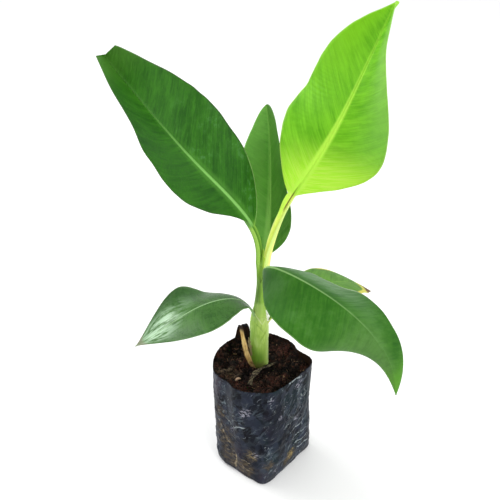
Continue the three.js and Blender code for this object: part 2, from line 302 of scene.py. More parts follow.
def from_angle(angle, degrees):
    """How far round the film a place is from an angle, in millimetres."""
    off = angle - math.radians(degrees)
    return GIRTH_RADIUS * np.arctan2(np.sin(off), np.cos(off))


def rim_height(angle):
    off = np.abs(from_angle(angle, FLAP_ANGLE)) / FLAP_HALF
    return BAG_HEIGHT + 1.3 * np.sin(3 * angle + 1.2) + FLAP_RISE * np.exp(-(off**7))


def patches(spots, angle, height):
    found = [hump(np.hypot(from_angle(angle, a), height - h), size) for a, h, size in spots]
    return np.clip(sum(found), 0, 1)


def pressed(angle, height):
    """The depth of the creases and how worn the film is along them."""
    depth, worn = 0 * angle, 0 * angle
    for start, low, end, high, width, deep, wear in CREASES:
        across, up = from_angle(angle, start), height - low
        long, tall = GIRTH_RADIUS * math.radians(end - start), high - low
        share = np.clip((across * long + up * tall) / (long**2 + tall**2), 0, 1)
        wander = 1.1 * np.sin(share * 9 + start)
        away = np.hypot(across - share * long + wander * tall / 40, up - share * tall + wander)
        fade = ease(share / 0.15) * ease((1 - share) / 0.15)
        depth += deep * hump(away, width) * fade
        worn += wear * hump(away, 0.55 * width) * fade
    return depth, np.clip(worn, 0, 1)


def crinkles(angle, height):
    """How far the film stands out or in, from soft folds, slumps near the foot and sharp little creases. The
    second answer is how sharp it is bent."""
    flat = on_circle(NOISE_RADIUS, angle, height)
    upright = rough(flat * [1, 1, 0.35], 24, 1, 2)
    slump = rough(flat * [0.6, 0.6, 1.4], 17, 2, 2) * ease(1.3 - height / 80)
    bent = flat + 4 * rough(flat, 18, 3)[..., None]
    busy = ease(rough(flat, 30, 7) * 1.6 + 0.45)
    sharp = 1 - np.minimum(np.abs(rough(bent, 15, 4, 2)) / 0.16, 1)
    small = 1 - np.minimum(np.abs(rough(bent * [1, 1, 0.8], 7, 5)) / 0.2, 1)
    near_rim = ease((height - 112) / 14)
    calm = (1.7 * upright + 1.1 * slump) * (1 - 0.6 * near_rim)
    return calm + busy * (0.5 * sharp**1.5 + 0.22 * small**1.5) * (1 - 0.5 * near_rim), busy * sharp**3


bag_around, bag_up, inner_up = 540, 150, 21
angles = whole_turn(bag_around)
angle_grid, share_grid = np.meshgrid(angles, np.linspace(0, 1, bag_up))
on_flap = np.clip((rim_height(angles) - BAG_HEIGHT - 2) / FLAP_RISE, 0, 1)
torn = 0.6 * rough(on_circle(NOISE_RADIUS, angles, 0), 3.0, 6, 2)
torn += 1.5 * on_flap * rough(on_circle(NOISE_RADIUS, angles, 9), 2.2, 8, 2)
height_grid = share_grid * (rim_height(angles) + torn)
stands_out, sharp_grid = crinkles(angle_grid, height_grid)
crease_grid, worn_grid = pressed(angle_grid, height_grid)
settled = ease(height_grid / 5 + 0.15)
foot_round = 0.8 * (1 - ease(height_grid / 2.2)) ** 2
wall = bag_radius(angle_grid, share_grid) - 0.6 + (stands_out - crease_grid) * settled - foot_round
for swell, height, degrees, tall, wide in SWELLS:
    wall += swell * hump(height_grid - height, tall) * hump(from_angle(angle_grid, degrees), wide)
worn_grid = np.clip(worn_grid + 0.35 * sharp_grid, 0, 1)

bag_outside = on_circle(wall, angle_grid, height_grid)
top = slice(None, -inner_up - 1, -1)
bag_inside = on_circle(wall[top] - FILM, angle_grid[top], height_grid[top])
under_shares = np.linspace(0.1, 0.97, 6)[:, None]
bag_under = on_circle(under_shares * wall[0], angles, 0.15 * (1 - under_shares))
bag_points, bag_faces = tube(np.concatenate([bag_under, bag_outside, bag_inside]))


def on_bag(grid, inside=0.0):
    """A number for each vertex of the bag, from its value on the outer skin."""
    under, back = np.zeros((len(under_shares), bag_around)), np.full((inner_up, bag_around), inside)
    return np.concatenate([np.concatenate([under, grid, back]).ravel(), [0, inside]])


film = Finish("film")
spot = film.place()
worn, glint_patch, mud = film.parts("film_wear_and_glints")
inner = film.value("film_inside")
film_x, _, film_z = film.axes(spot)
cloud = film.grain(spot, 28, 2)
drift = film.node("TexNoise", {}, {"Vector": spot, "Scale": 90, "Detail": 4}, "Color")
drifting = {0: drift, 1: (0.012, 0.012, 0.012), 2: spot}
bent = film.node("VectorMath", {"operation": "MULTIPLY_ADD"}, drifting)
bent_x, bent_y, bent_z = film.axes(bent)
slanting = film.point(bent_x - 0.75 * bent_z, bent_y, 0.3 * bent_z)
drawn = film.stretched(bent, 0.5)

# The film itself: crumpled facets painted darker and lighter as their shading, tinted warm on the left and
# green on the right.
facets = film.facets(drawn, 110) * 0.45 + 0.55 * film.grain(slanting, 90, 4, 0.65)
tint = film.grain(spot, 19, 1, up=0.5).rise(0.46, 0.62) * film_x.fall(-0.004, 0.014)
green = film.grain(spot, 24, 1).rise(0.47, 0.6) * film_x.rise(-0.01, 0.01)
busy = film.grain(spot, 22, 2).rise(0.44, 0.6) * 0.6
busy += film_x.rise(0.012, 0.034) * film_z.fall(0.075, 0.105) * 0.35
sheen = film.facets(drawn, 240).rise(0.6, 0.7)
highlight_streaks = film.facets(slanting, 360).rise(0.72, 0.78)
glints = film.facets(slanting, 520).rise(0.87, 0.9)
base = film.over(
    film.mix(facets.rise(0.3, 0.7), (13, 15, 22), (37, 42, 54)),
    (tint * 0.75, (47, 37, 52)),
    (green * 0.7, (25, 42, 47)),
    # Painted shade: darker patches, and the right side darker.
    (film.grain(spot, 48, 3, 0.6).fall(0.3, 0.5) * 0.45, (6, 7, 11)),
    (film_x.rise(0.004, 0.034) * 0.35, (14, 17, 24)),
    (film_z.fall(0.004, 0.034) * cloud.rise(0.35, 0.6) * 0.4, (70, 68, 76)),
    # Painted highlights: sheen, highlight streaks and glints on the crinkled film.
    (sheen * (0.2 + 0.5 * busy), (54, 60, 74)),
    (highlight_streaks * (0.1 + 0.5 * busy), (84, 96, 104)),
    (glints * busy * 0.6, (140, 152, 156)))

# What has dried or rubbed off on it: mud, dust, two ochre stains, scratches, worn creases and, inside, soil;
# and painted white glints on its crinkles.
gritty = film.grain(spot, 170, 5, 0.7, up=1.7)
dust = gritty.rise(0.44, 0.62) * (mud.rise(0.15, 0.75) + 0.15 * film_z.fall(0.0, 0.05))
caked = film.grain(spot, 150, 4, 0.7, up=2.4).rise(0.57, 0.64) * mud.rise(0.4, 0.85)
speckle = film.grain(spot, 330, 4, 0.62, up=1.4)
patchy = 0.5 * film.facets(bent, 850) + 0.5 * speckle
stains = [(film.distance(bent, stained).fall(0.003, far) * patchy.rise(0.48, 0.57) * 0.5, tone)
          for stained, far, tone in (((-0.004, -0.038, 0.047), 0.009, (146, 130, 92)),
                                     ((0.037, -0.017, 0.026), 0.008, (184, 160, 96)))]
scratches = film.grain(slanting, 300, 3, 0.6).rise(0.63, 0.68) * cloud.rise(0.42, 0.6)
soiled = film.grain(spot, 140, 4, 0.7)
base = film.over(
    base,
    (mud.rise(0.3, 0.9) * film_z.fall(0.02, 0.04) * 0.5, (60, 52, 42)),
    (dust * 0.65, (92, 82, 68)),
    (caked * 0.65, (126, 115, 96)),
    *stains,
    # Painted glints: white specks in the glint patches.
    (speckle.rise(0.5, 0.6) * glint_patch.rise(0.25, 1.0) * 0.6, (166, 164, 178)),
    (scratches * 0.35, (140, 148, 156)),
    (worn.rise(0.12, 0.6) * patchy.rise(0.33, 0.48) * 0.7,
     film.mix(mud.rise(0.1, 0.5), (164, 174, 176), (172, 158, 132))),
    (inner * soiled.rise(0.25, 0.5) * 0.92, film.mix(soiled, (22, 14, 11), (58, 40, 30))),
    (film_z.rise(0.1315, 0.137) * soiled.rise(0.45, 0.55) * 0.75, (58, 38, 28)))
film_rough = 0.3 + 0.4 * dust + 0.25 * inner + 0.1 * facets
film_fine = film.grain(spot, 420, 3, 0.6, up=0.7)
film_bump = film.bump(film_fine * 0.25 + facets * 0.5 + sheen * 0.3, 0.0012, 0.5)
film_material = film.out(film.skin(base, film_rough, lustre=0.04, relief=film_bump))
glint_grid, mud_grid = patches(GLINT_PATCHES, angle_grid, height_grid), patches(MUD, angle_grid, height_grid)
film_wear_and_glints = xyz(on_bag(worn_grid), on_bag(glint_grid), on_bag(mud_grid))
grow_bag = piece("nursery_bag", bag_points, bag_faces, film_material,
                 {"film_wear_and_glints": film_wear_and_glints, "film_inside": on_bag(0 * worn_grid, 1.0)})
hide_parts("grow_bag")

# THE SOIL
# Dark loam with bits of bark and root, tipped in up to the rim and firmed round the stem. Clods and crumbs
# lie loose on it.
SOIL_TOP = 121.6
SOIL_SHARE, HEAP_SHARE = SOIL_TOP / BAG_HEIGHT, 0.94  # how far up the bag the soil's edge and its heaps are
SOIL_REACH = 50
STEM_FOOT = (-2.7, 7.3)
STEM_CLEAR = 10.2


def from_stem(x, y):
    return np.hypot(x - STEM_FOOT[0], y - STEM_FOOT[1])


def soil_height(x, y):
    """The plain surface of the solid: gentle waves, and level round the stem."""
    waves = np.sin(x * 0.21 + 1) * np.cos(y * 0.17) + np.sin(x * 0.4 - y * 0.33) / 2
    return SOIL_TOP + 2 * waves * ease((from_stem(x, y) - 13) / 12)


def hollow_at(x, y):
    """1 in the dark hollow at the stem's front left, and 0 away from it."""
    return hump(x + 13.5, 5.5) * hump(y + 7, 8)


def bed_height(x, y):
    """The soil's surface with its lumps and its hollow, heaped against the film at the back and left."""
    flat = xyz(x, y, 0)
    angle = np.arctan2(y, x)
    beyond = np.hypot(x, y) / bag_radius(angle, HEAP_SHARE)
    heap = lerp(1.5, 5.6, ease(0.5 + 1.3 * np.cos(angle - math.radians(140))))
    heap = heap * ease((beyond - 0.72) / 0.25)
    lumps = 1.9 * rough(flat, 9, 11, 2) + 0.7 * rough(flat, 3.2, 12, 2)
    return soil_height(x, y) + lumps * ease(1.25 - 0.3 * beyond) - 3.6 * hollow_at(x, y) + heap - 0.6


bed_rings, bed_around, skirt_deep = 72, 400, 16
reach = (np.linspace(0.01, 1, bed_rings) ** 0.8)[::-1, None]
bed_angles = whole_turn(bed_around)
bed_rim = bag_radius(bed_angles, SOIL_SHARE) - 1.3
bed_x = STEM_FOOT[0] + (bed_rim * np.cos(bed_angles) - STEM_FOOT[0]) * reach
bed_y = STEM_FOOT[1] + (bed_rim * np.sin(bed_angles) - STEM_FOOT[1]) * reach
bed = xyz(bed_x, bed_y, bed_height(bed_x, bed_y))
skirt = bed[:1] * [0.93, 0.93, 1] - [0, 0, skirt_deep]
bed_points, bed_faces = tube(np.concatenate([skirt, bed]))


def loam_tones(finish, spot, tone):
    """Soil colours: near black in patches, with brown grains, reddish patches, a pale crust at the left,
    painted shade in the hollow at the stem's front left and a few pale specks. The second answer is the
    grains."""
    grains = finish.grain(spot, 260, 5, 0.7)
    patch = finish.grain(spot, 60, 3)
    x, y, _ = finish.axes(spot)

    def oval(at_x, at_y, half_x, half_y):
        across, along_it = (x - at_x) * (1 / half_x), (y - at_y) * (1 / half_y)
        return (across * across + along_it * along_it + 0.8 * (grains - 0.5)).fall(0.4, 1.5)

    colour = finish.over(
        finish.mix((grains * 0.7 + tone * 0.4).rise(0.4, 0.85), (12, 9, 7), (54, 37, 28)),
        (patch.rise(0.46, 0.6) * grains.rise(0.42, 0.6) * 0.75, (78, 44, 36)),
        (patch.fall(0.34, 0.5) * 0.65, (8, 6, 5)),
        (oval(-0.034, -0.012, 0.013, 0.008) * grains.rise(0.42, 0.56) * 0.55, (98, 84, 68)),
        # Painted shade in the hollow at the stem's front left.
        (oval(-0.0135, -0.013, 0.0065, 0.015) * 0.75, (7, 5, 5)),
        (finish.grain(spot, 620, 2).rise(0.7, 0.76) * 0.5, (128, 100, 74)))
    return colour, grains


loam = Finish("loam")
spot = loam.place()
colour, grains = loam_tones(loam, spot, 0.4)
# Painted shade: near black in the hollow at the stem's front left.
colour = loam.mix(loam.value("hollow_shade") * 0.8, colour, (7, 5, 5))
loam_bump = loam.bump(grains + 0.5 * loam.grain(spot, 800, 3), 0.0016, 0.9)
loam_material = loam.out(loam.skin(colour, roughness=0.9, lustre=0.14, relief=loam_bump))
soil_bed = piece("soil_bed", bed_points, bed_faces, loam_material,
                 {"hollow_shade": hollow_at(bed_points[:, 0], bed_points[:, 1])})
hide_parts("soil_fill")

crumb_luck = np.random.default_rng(41)


def spread(count, inside):
    """Places on the soil, evenly spread over it, clear of the stem and of the film."""
    found = []
    while len(found) < count:
        x, y = crumb_luck.uniform(-SOIL_REACH, SOIL_REACH, 2)
        in_bag = math.hypot(x, y) <= bag_radius(np.arctan2(y, x), SOIL_SHARE) - inside
        if in_bag and from_stem(x, y) > STEM_CLEAR:
            found.append((x, y))
    return np.array(found)


def turned(count):
    """Random turns, as a matrix for each of a number of bits."""
    frames, _ = np.linalg.qr(crumb_luck.normal(size=(count, 3, 3)))
    return frames


golden = (1 + 5**0.5) / 2
ball = np.array([(-1, golden, 0), (1, golden, 0), (-1, -golden, 0), (1, -golden, 0), (0, -1, golden),
                 (0, 1, golden), (0, -1, -golden), (0, 1, -golden), (golden, 0, -1), (golden, 0, 1),
                 (-golden, 0, -1), (-golden, 0, 1)]) / math.hypot(1, golden)
ball_faces = np.array([(0, 11, 5), (0, 5, 1), (0, 1, 7), (0, 7, 10), (0, 10, 11), (1, 5, 9), (5, 11, 4),
                       (11, 10, 2), (10, 7, 6), (7, 1, 8), (3, 9, 4), (3, 4, 2), (3, 2, 6), (3, 6, 8),
                       (3, 8, 9), (4, 9, 5), (2, 4, 11), (6, 2, 10), (8, 6, 7), (9, 8, 1)])


def finer(points, faces):
    """A ball with each face split in four."""
    points, halves, split = list(points), {}, []

    def half(a, b):
        key = (min(a, b), max(a, b))
        if key not in halves:
            halves[key] = len(points)
            points.append((points[a] + points[b]) / np.linalg.norm(points[a] + points[b]))
        return halves[key]

    for a, b, c in faces:
        ab, bc, ca = half(a, b), half(b, c), half(c, a)
        split += [(a, ab, ca), (b, bc, ab), (c, ca, bc), (ab, bc, ca)]
    return np.array(points), np.array(split)


def scatter(name, count, sizes, shape, faces, lumpy, sunk, tones):
    """Loose bits of one kind, strewn over the soil as one piece."""
    at = spread(count, 2.4 + sizes.max() * 0.4)
    number = len(shape)
    body = shape * crumb_luck.uniform(1 - lumpy, 1 + 0.6 * lumpy, (count, number, 1))
    body = (body * crumb_luck.uniform(0.6, 1.15, (count, 1, 3))) @ turned(count) * sizes[:, None, None]
    height = bed_height(at[:, 0], at[:, 1]) + sizes * sunk
    points = body + np.concatenate([at, height[:, None]], axis=1)[:, None, :]
    all_faces = (faces[None] + number * np.arange(count)[:, None, None]).reshape(-1, 3).tolist()
    piece(name, points, all_faces, crumb_material, {"tone": np.repeat(tones, number)})


crumb = Finish("crumb")
tone = crumb.value("tone")
spot = crumb.place()
colour, grains = loam_tones(crumb, spot, tone)
colour = crumb.over(colour, (tone.rise(0.8, 0.95) * 0.5, (72, 44, 32)),
                    (tone.rise(0.985, 0.999), (128, 104, 78)))
crumb_bump = crumb.bump(grains, 0.0007, 0.8)
crumb_material = crumb.out(crumb.skin(colour, roughness=0.92, lustre=0.14, relief=crumb_bump))
clods, crumbs = 330, 5200
clod_ball, clod_faces = finer(ball, ball_faces)
clod_size = 1.1 + 2.1 * crumb_luck.random(clods) ** 1.6
scatter("soil_clods", clods, clod_size, clod_ball, clod_faces, lumpy=0.2, sunk=0.1,
        tones=crumb_luck.random(clods) * 0.8)
crumb_size = 0.35 + 1.1 * crumb_luck.random(crumbs) ** 3
scatter("soil_crumbs", crumbs, crumb_size, ball, ball_faces, lumpy=0.35, sunk=0.35,
        tones=crumb_luck.random(crumbs))

# ROOT FIBRES AND CHIPS
# Dead roots, splinters of bark and a strip of an old sheath, dry and lying loose on the loam.


def along(keys, t):
    """A value that runs smoothly through evenly spaced keys, at t from 0 to 1."""
    keys = np.array(keys, float)
    last = len(keys) - 1
    place = np.clip(t, 0, 1) * last
    i = np.minimum(np.floor(place).astype(int), last - 1)
    a, b, c, d = keys[np.maximum(i - 1, 0)], keys[i], keys[i + 1], keys[np.minimum(i + 2, last)]
    f = place - i
    return 0.5 * (2 * b + (c - a) * f + (2 * a - 5 * b + 4 * c - d) * f**2 + (3 * b - a - 3 * c + d) * f**3)


def path_along(keys, steps):
    """A smooth path through evenly spaced points."""
    return np.stack([along(np.array(keys)[:, k], steps) for k in range(3)], axis=-1)


class Bundle:
    """Strands gathered into one piece, each with a tone of its own."""

    def __init__(self):
        self.points, self.faces, self.tones, self.total = [], [], [], 0

    def add(self, tone, path, radius, sides, flat, side=None):
        """Adds a flattened strand along a path of points. Side is where its width points."""
        ahead = np.gradient(np.asarray(path, float), axis=0)
        ahead /= np.linalg.norm(ahead, axis=1, keepdims=True)
        side = np.cross(ahead, [0, 0, 1.0]) if side is None else side - ahead * (ahead @ side)[:, None]
        side /= np.linalg.norm(side, axis=1, keepdims=True) + 1e-9
        above = np.cross(side, ahead)
        turn = whole_turn(sides)[None, :, None]
        radius = np.broadcast_to(radius, (len(path),))[:, None, None]
        rings = side[:, None] * np.cos(turn) + flat * above[:, None] * np.sin(turn)
        points, faces = tube(np.asarray(path)[:, None] + radius * rings, self.total)
        self.points.append(points)
        self.faces.extend(faces)
        self.tones.append(np.full(len(points), tone))
        self.total += len(points)

    def piece(self, name, material, slot):
        tones = {"tone": np.concatenate(self.tones)}
        return piece(name, np.concatenate(self.points), self.faces, material, tones)


litter = Bundle()
FIBRES, BITS = 110, 150  # of the bits, as many are thin fibres as come first
STRIP_TONE, CHIP_TONE = 2.0, 3.0
step = np.linspace(-0.5, 0.5, 9)
for i, (x, y) in enumerate(spread(BITS, 5)):
    long = crumb_luck.uniform(3, 10) if i < FIBRES else crumb_luck.uniform(2, 5)
    thick = crumb_luck.uniform(0.12, 0.28) if i < FIBRES else crumb_luck.uniform(0.5, 1.1)
    heading = crumb_luck.uniform(0, 2 * math.pi)
    bend = crumb_luck.uniform(-1.2, 1.2)
    line_x = x + long * step * math.cos(heading) - bend * long * step**2 * math.sin(heading)
    line_y = y + long * step * math.sin(heading) + bend * long * step**2 * math.cos(heading)
    inside = np.hypot(line_x, line_y) < bag_radius(np.arctan2(line_y, line_x), HEAP_SHARE) - 3
    if not (inside.all() and (from_stem(line_x, line_y) > 11).all()):
        continue
    line_z = bed_height(line_x, line_y).mean() + 0.9 + 0.5 * np.cos(step * 7 + i)
    line = xyz(line_x, line_y, line_z)
    litter.add(crumb_luck.random(), line, thick * (1 - 1.2 * step**2), sides=6, flat=0.5)

old_strip = [(-13, -26, 121.5), (-11.5, -22, 123.6), (-8.6, -16.6, 124.6), (-5, -11.1, 124.8),
             (-0.6, -6, 124.6), (4.2, -3.6, 124.8), (9.2, -1.4, 125.6), (14.6, 0.6, 126.6)]
strip_steps = np.linspace(0, 1, 60)
strip_wide = 4.0 * (1 - 0.6 * strip_steps) * (0.75 + 0.25 * np.sin(strip_steps * 17 + 1))
litter.add(STRIP_TONE, path_along(old_strip, strip_steps), strip_wide, sides=14, flat=0.3)
chip_path = [(-26.4, -22.6, 124), (-24.6, -21.6, 124.9), (-22.6, -20.6, 125), (-20.6, -20.2, 124.2)]
litter.add(CHIP_TONE, chip_path, [0.9, 1.7, 1.5, 0.6], sides=10, flat=0.4)

dry = Finish("litter")
tone = dry.value("tone")
mottled = dry.grain(dry.place(), 500, 3)
colour = dry.over(
    dry.mix(tone.rise(0.0, 0.8), (34, 22, 17), (84, 58, 42)),
    (tone.rise(0.9, 0.99), (142, 116, 84)),
    (tone.rise(1.4, 1.6), dry.mix(mottled.rise(0.35, 0.65), (44, 37, 29), (104, 94, 74))),
    (tone.rise(2.4, 2.6), (158, 130, 108)),
    (mottled.fall(0.35, 0.6) * 0.6, (24, 16, 13)))
dry_skin = dry.skin(colour, roughness=0.8, lustre=0.2, relief=dry.bump(mottled, 0.0006, 0.6))
litter.piece("soil_litter", dry.out(dry_skin), "soil")

# THE PSEUDOSTEM
# No wood: a roll of leaf sheaths, one inside the other, pale green and juicy. The margins of the outer ones
# meet in a V at the front, above which the roll is narrower. Its heart ends in a point between two petioles.

# Each station: how far above the stem's base, where its middle is, and its radius.
STATIONS = np.array([(0, -2.7, 7.3, 9.9), (5, -2.7, 7.1, 9.5), (16, -2.7, 6.7, 9.2), (44, -2.9, 5.8, 9),
                     (57, -3, 5.3, 8.7), (64, -3, 4.9, 7.5), (71, -2.7, 4.5, 6.1), (82, -1.6, 3.9, 5.2),
                     (98, -0.5, 3.1, 5), (116, 0, 2.2, 5.2), (124, 0, 1.8, 5.2), (127, -0.2, 2.6, 4.2),
                     (130, -0.3, 3.4, 3), (134, 0, 3.8, 1.7), (138, 0.3, 3.9, 0.4)])
STEM_BASE = SOIL_TOP + 0.3
STEM_RISE = 138
V_FOOT, V_SLOPE = 55.3, 1.65  # how high the V's foot is above the stem's base, and how steep its sides are


def stem_at(above):
    return [np.interp(above, STATIONS[:, 0], STATIONS[:, k]) for k in (1, 2, 3)]


def stem_relief(angle, above, x):
    """The skin over the plain roll: fibres up it, the oval of each sheath, and the step inside the V."""
    ribs = 0.16 * rough(on_circle(9, angle, above * 0.09), 1.5, 21, 2)
    oval = 0.25 * np.cos(2 * (angle - 0.6) + above * 0.02)
    front = ease(0.5 - 1.4 * np.sin(angle))
    over_margin = above - (V_FOOT + np.abs(x) * V_SLOPE)
    inside = ease(over_margin / 0.9 + 0.5) * ease((82 - above) / 10)
    lip = hump(over_margin + 0.9, 1.1) * ease((78 - above) / 6)
    return ribs + oval - 0.35 + front * (0.28 * lip - 0.55 * inside)


stem_around, stem_up = 200, 330
stem_angle, stem_above = np.meshgrid(whole_turn(stem_around), np.linspace(-3, STEM_RISE, stem_up))
centre_x, centre_y, stem_radius = stem_at(np.clip(stem_above, 0, STEM_RISE))
relief = stem_relief(stem_angle, stem_above, centre_x + stem_radius * np.cos(stem_angle))
stem_out = stem_radius + relief * np.minimum(stem_radius / 5, 1)
stem_rings = on_circle(stem_out, stem_angle, STEM_BASE + stem_above) + xyz(centre_x, centre_y, 0)
stem_points, stem_faces = tube(stem_rings)


def stalk_tones(finish, spot):
    """The stalk's colours at a place: yellow-green below and greener above, with painted shade down its left
    side, olive low down, and a painted highlight on its right side low down. The other answers are the fibres
    and the blotches in them."""
    x, y, z = finish.axes(spot)
    fibre = finish.grain(spot, 900, 3, 0.6, up=0.06)
    blotch = finish.grain(spot, 110, 3, up=0.35)
    # Above the V and in the heart, the darker left side is painted shade.
    above_v = finish.mix((x + 0.002 * blotch).rise(-0.0035, 0.0015), (78, 116, 48), (134, 184, 60))
    above_v = finish.mix(fibre.rise(0.45, 0.62) * 0.5, above_v, (146, 184, 96))
    heart = finish.mix(x.rise(-0.0012, 0.0012), (116, 158, 48), (206, 238, 92))
    margin = z - ((STEM_BASE + V_FOOT) / 1000 + abs(x) * V_SLOPE)
    front = y.fall(-0.002, 0.004) * z.fall(0.199, 0.204)
    freckle = finish.cells(spot, 300).fall(0.05, 0.11) * finish.grain(spot, 70, 1).rise(0.5, 0.6)
    colour = finish.over(
        # Painted shade on the left and painted light on the right; then a painted highlight up the right side
        # low down.
        finish.mix((x + 0.004 * blotch).rise(-0.009, 0.006), (146, 182, 74), (188, 216, 106)),
        (fibre.fall(0.38, 0.58) * 0.5, (120, 158, 62)),
        ((x - 0.003 * fibre).rise(0.0015, 0.0055) * z.fall(0.17, 0.19) * 0.65, (222, 238, 170)),
        (blotch.rise(0.5, 0.7) * 0.45, (216, 230, 150)),
        # Painted shade: olive on the left low down.
        ((z + 0.012 * blotch).fall(0.140, 0.160) * x.fall(-0.002, 0.006) * 0.9, (74, 114, 14)),
        (z.fall(0.160, 0.175) * 0.3, (126, 172, 62)),
        (z.rise(0.180, 0.198) * 0.9, above_v),
        (z.rise(0.226, 0.238) * 0.95, heart),
        (abs(margin).fall(0.0004, 0.0013) * front * 0.65, (212, 226, 160)),
        (margin.rise(0.0008, 0.003) * front * 0.5, (176, 206, 110)),
        (z.fall(0.124, 0.133) * blotch.rise(0.35, 0.6) * 0.7, (84, 66, 38)),
        (freckle * 0.5, (66, 78, 32)))
    return colour, fibre, blotch


stalk = Finish("stalk")
colour, fibre, blotch = stalk_tones(stalk, stalk.place())
juicy = {"Subsurface Weight": 0.1, "Subsurface Radius": (0.004, 0.005, 0.001), "Subsurface Scale": 0.4}
stalk_bump = stalk.bump(fibre, 0.0004, 0.5)
stalk_skin = stalk.skin(colour, 0.4 + 0.12 * blotch, lustre=0.35, relief=stalk_bump, **juicy)
pseudostem = piece("sheath_roll", stem_points, stem_faces, stalk.out(stalk_skin))
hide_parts("pseudostem")

# TORN SHEATH EDGES
# Thin dry scraps of the outer sheaths' margins: a white one at the right shoulder and a grey one at the left,
# both still joined to the stem along one side.
torn_edges = Bundle()
for path, wide, tone in (
        ([(5.4, -1.6, 181), (5, -2.4, 186), (4.2, -2.8, 190.5), (3.2, -2.6, 195)], 1.3, 0.0),
        ([(-10.6, -2.4, 138), (-11.6, -2.6, 148), (-12.4, -2.6, 154), (-12.8, -2.2, 158), (-13, -2, 161)],
         1.5, 1.0)):
    steps = np.linspace(0, 1, 40)
    ragged = (0.35 + 0.65 * np.sin(np.pi * np.minimum(steps + 0.12, 1))) * (1 + 0.25 * np.sin(steps * 23))
    torn_edges.add(tone, path_along(path, steps), wide * ragged, 12, 0.2, side=np.array([0.96, -0.28, 0]))

scrap = Finish("sheath_scrap")
fibre = scrap.grain(scrap.place(), 1000, 3, up=0.15)
colour = scrap.mix(scrap.value("tone"), (240, 246, 222), (122, 110, 68))
colour = scrap.mix(fibre.fall(0.35, 0.55) * 0.5, colour, (104, 92, 62))
scrap_skin = scrap.skin(colour, roughness=0.7, lustre=0.5, relief=scrap.bump(fibre, 0.0004, 0.6))
torn_edges.piece("sheath_scraps", scrap.out(scrap_skin), "dry_sheath")

# THE DRY SHEATH
# What is left of the first leaf: a withered strip of sheath, light brown and papery, curled along its length,
# that stands off the stem from the soil up.
SHEATH_FOOT, SHEATH_BOW, SHEATH_TOP = np.array([(-8.2, -1.9, 121.9), (-16, -2, 139), (-20.8, 2, 172)])
SHEATH_ACROSS = np.array([0.88, -0.47, 0])
SHEATH_WIDE, SHEATH_HALF = 3.6, 0.22  # half its width, and half its thickness


def there_and_back(out, back):
    """Rings that run out over one skin and back under it along the other."""
    return np.concatenate([out, back[:, ::-1]], axis=1)


dry_rows, dry_columns = 110, 33
rise = np.linspace(0, 1, dry_rows)[:, None, None]
line = (1 - rise) ** 2 * SHEATH_FOOT + 2 * rise * (1 - rise) * SHEATH_BOW + rise**2 * SHEATH_TOP
across = np.linspace(-1, 1, dry_columns)[None, :, None]
deep = np.cross([0, 0, 1.0], SHEATH_ACROSS)
fullness = lerp(0.62, 1, np.sin(np.pi * np.minimum(rise + 0.15, 1)))
half = SHEATH_WIDE * fullness * (1 - 0.3 * ease((rise - 0.88) / 0.12)) * (1 + 0.05 * np.sin(rise * 21))
curl = 1.2 * (across**2 - 0.4) * (0.6 + 0.8 * np.sin(rise * 5))
ridge = 0.12 * np.sin(across * 16) + 0.3 * rough(xyz(across * 3, rise * 9, 0), 1.0, 31)
middle = line + half * across * SHEATH_ACROSS - (curl + ridge) * deep
middle[..., 2] += ease((rise[..., 0] - 0.9) / 0.1) * 2.0 * rough(xyz(across[..., 0] * 4, 0, 0), 1.0, 33)
sheath_rings = there_and_back(middle + SHEATH_HALF * deep, middle - SHEATH_HALF * deep)
sheath_points, sheath_faces = tube(sheath_rings)
edge_row = np.abs(across[..., 0])
sheath_edge = np.append(np.tile(there_and_back(edge_row, edge_row), dry_rows), [1, 1])

papery = Finish("papery")
spot = papery.place()
z = papery.axes(spot)[2]
fibre = papery.grain(spot, 1100, 3, up=0.08)
cloud = papery.grain(spot, 150, 3)
knot = papery.distance(spot, (-0.0145, -0.0035, 0.1445))
colour = papery.over(
    papery.mix(fibre.rise(0.35, 0.65), (184, 146, 80), (240, 210, 140)),
    (cloud.rise(0.54, 0.62) * 0.65, (124, 82, 44)),
    ((papery.value("edge") + 0.35 * cloud).rise(0.93, 1.12) * 0.75, (88, 54, 32)),
    (knot.fall(0.0012, 0.0026) * 0.85, (74, 46, 28)),
    (z.rise(0.163, 0.170), (48, 32, 24)),
    (z.fall(0.123, 0.134) * 0.7, (92, 72, 40)))
papery_skin = papery.skin(colour, roughness=0.7, lustre=0.3, relief=papery.bump(fibre, 0.0005, 0.7))
dry_sheath = piece("withered_sheath", sheath_points, sheath_faces, papery.out(papery_skin),
                   {"edge": sheath_edge})
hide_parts("dry_sheath")

# THE LEAVES
# Each is one blade rolled out of the stem on a grooved petiole, which runs on as the midrib. Fine veins leave
# it side by side and bend towards the tip. The rule of their shape is the one in the part's source.

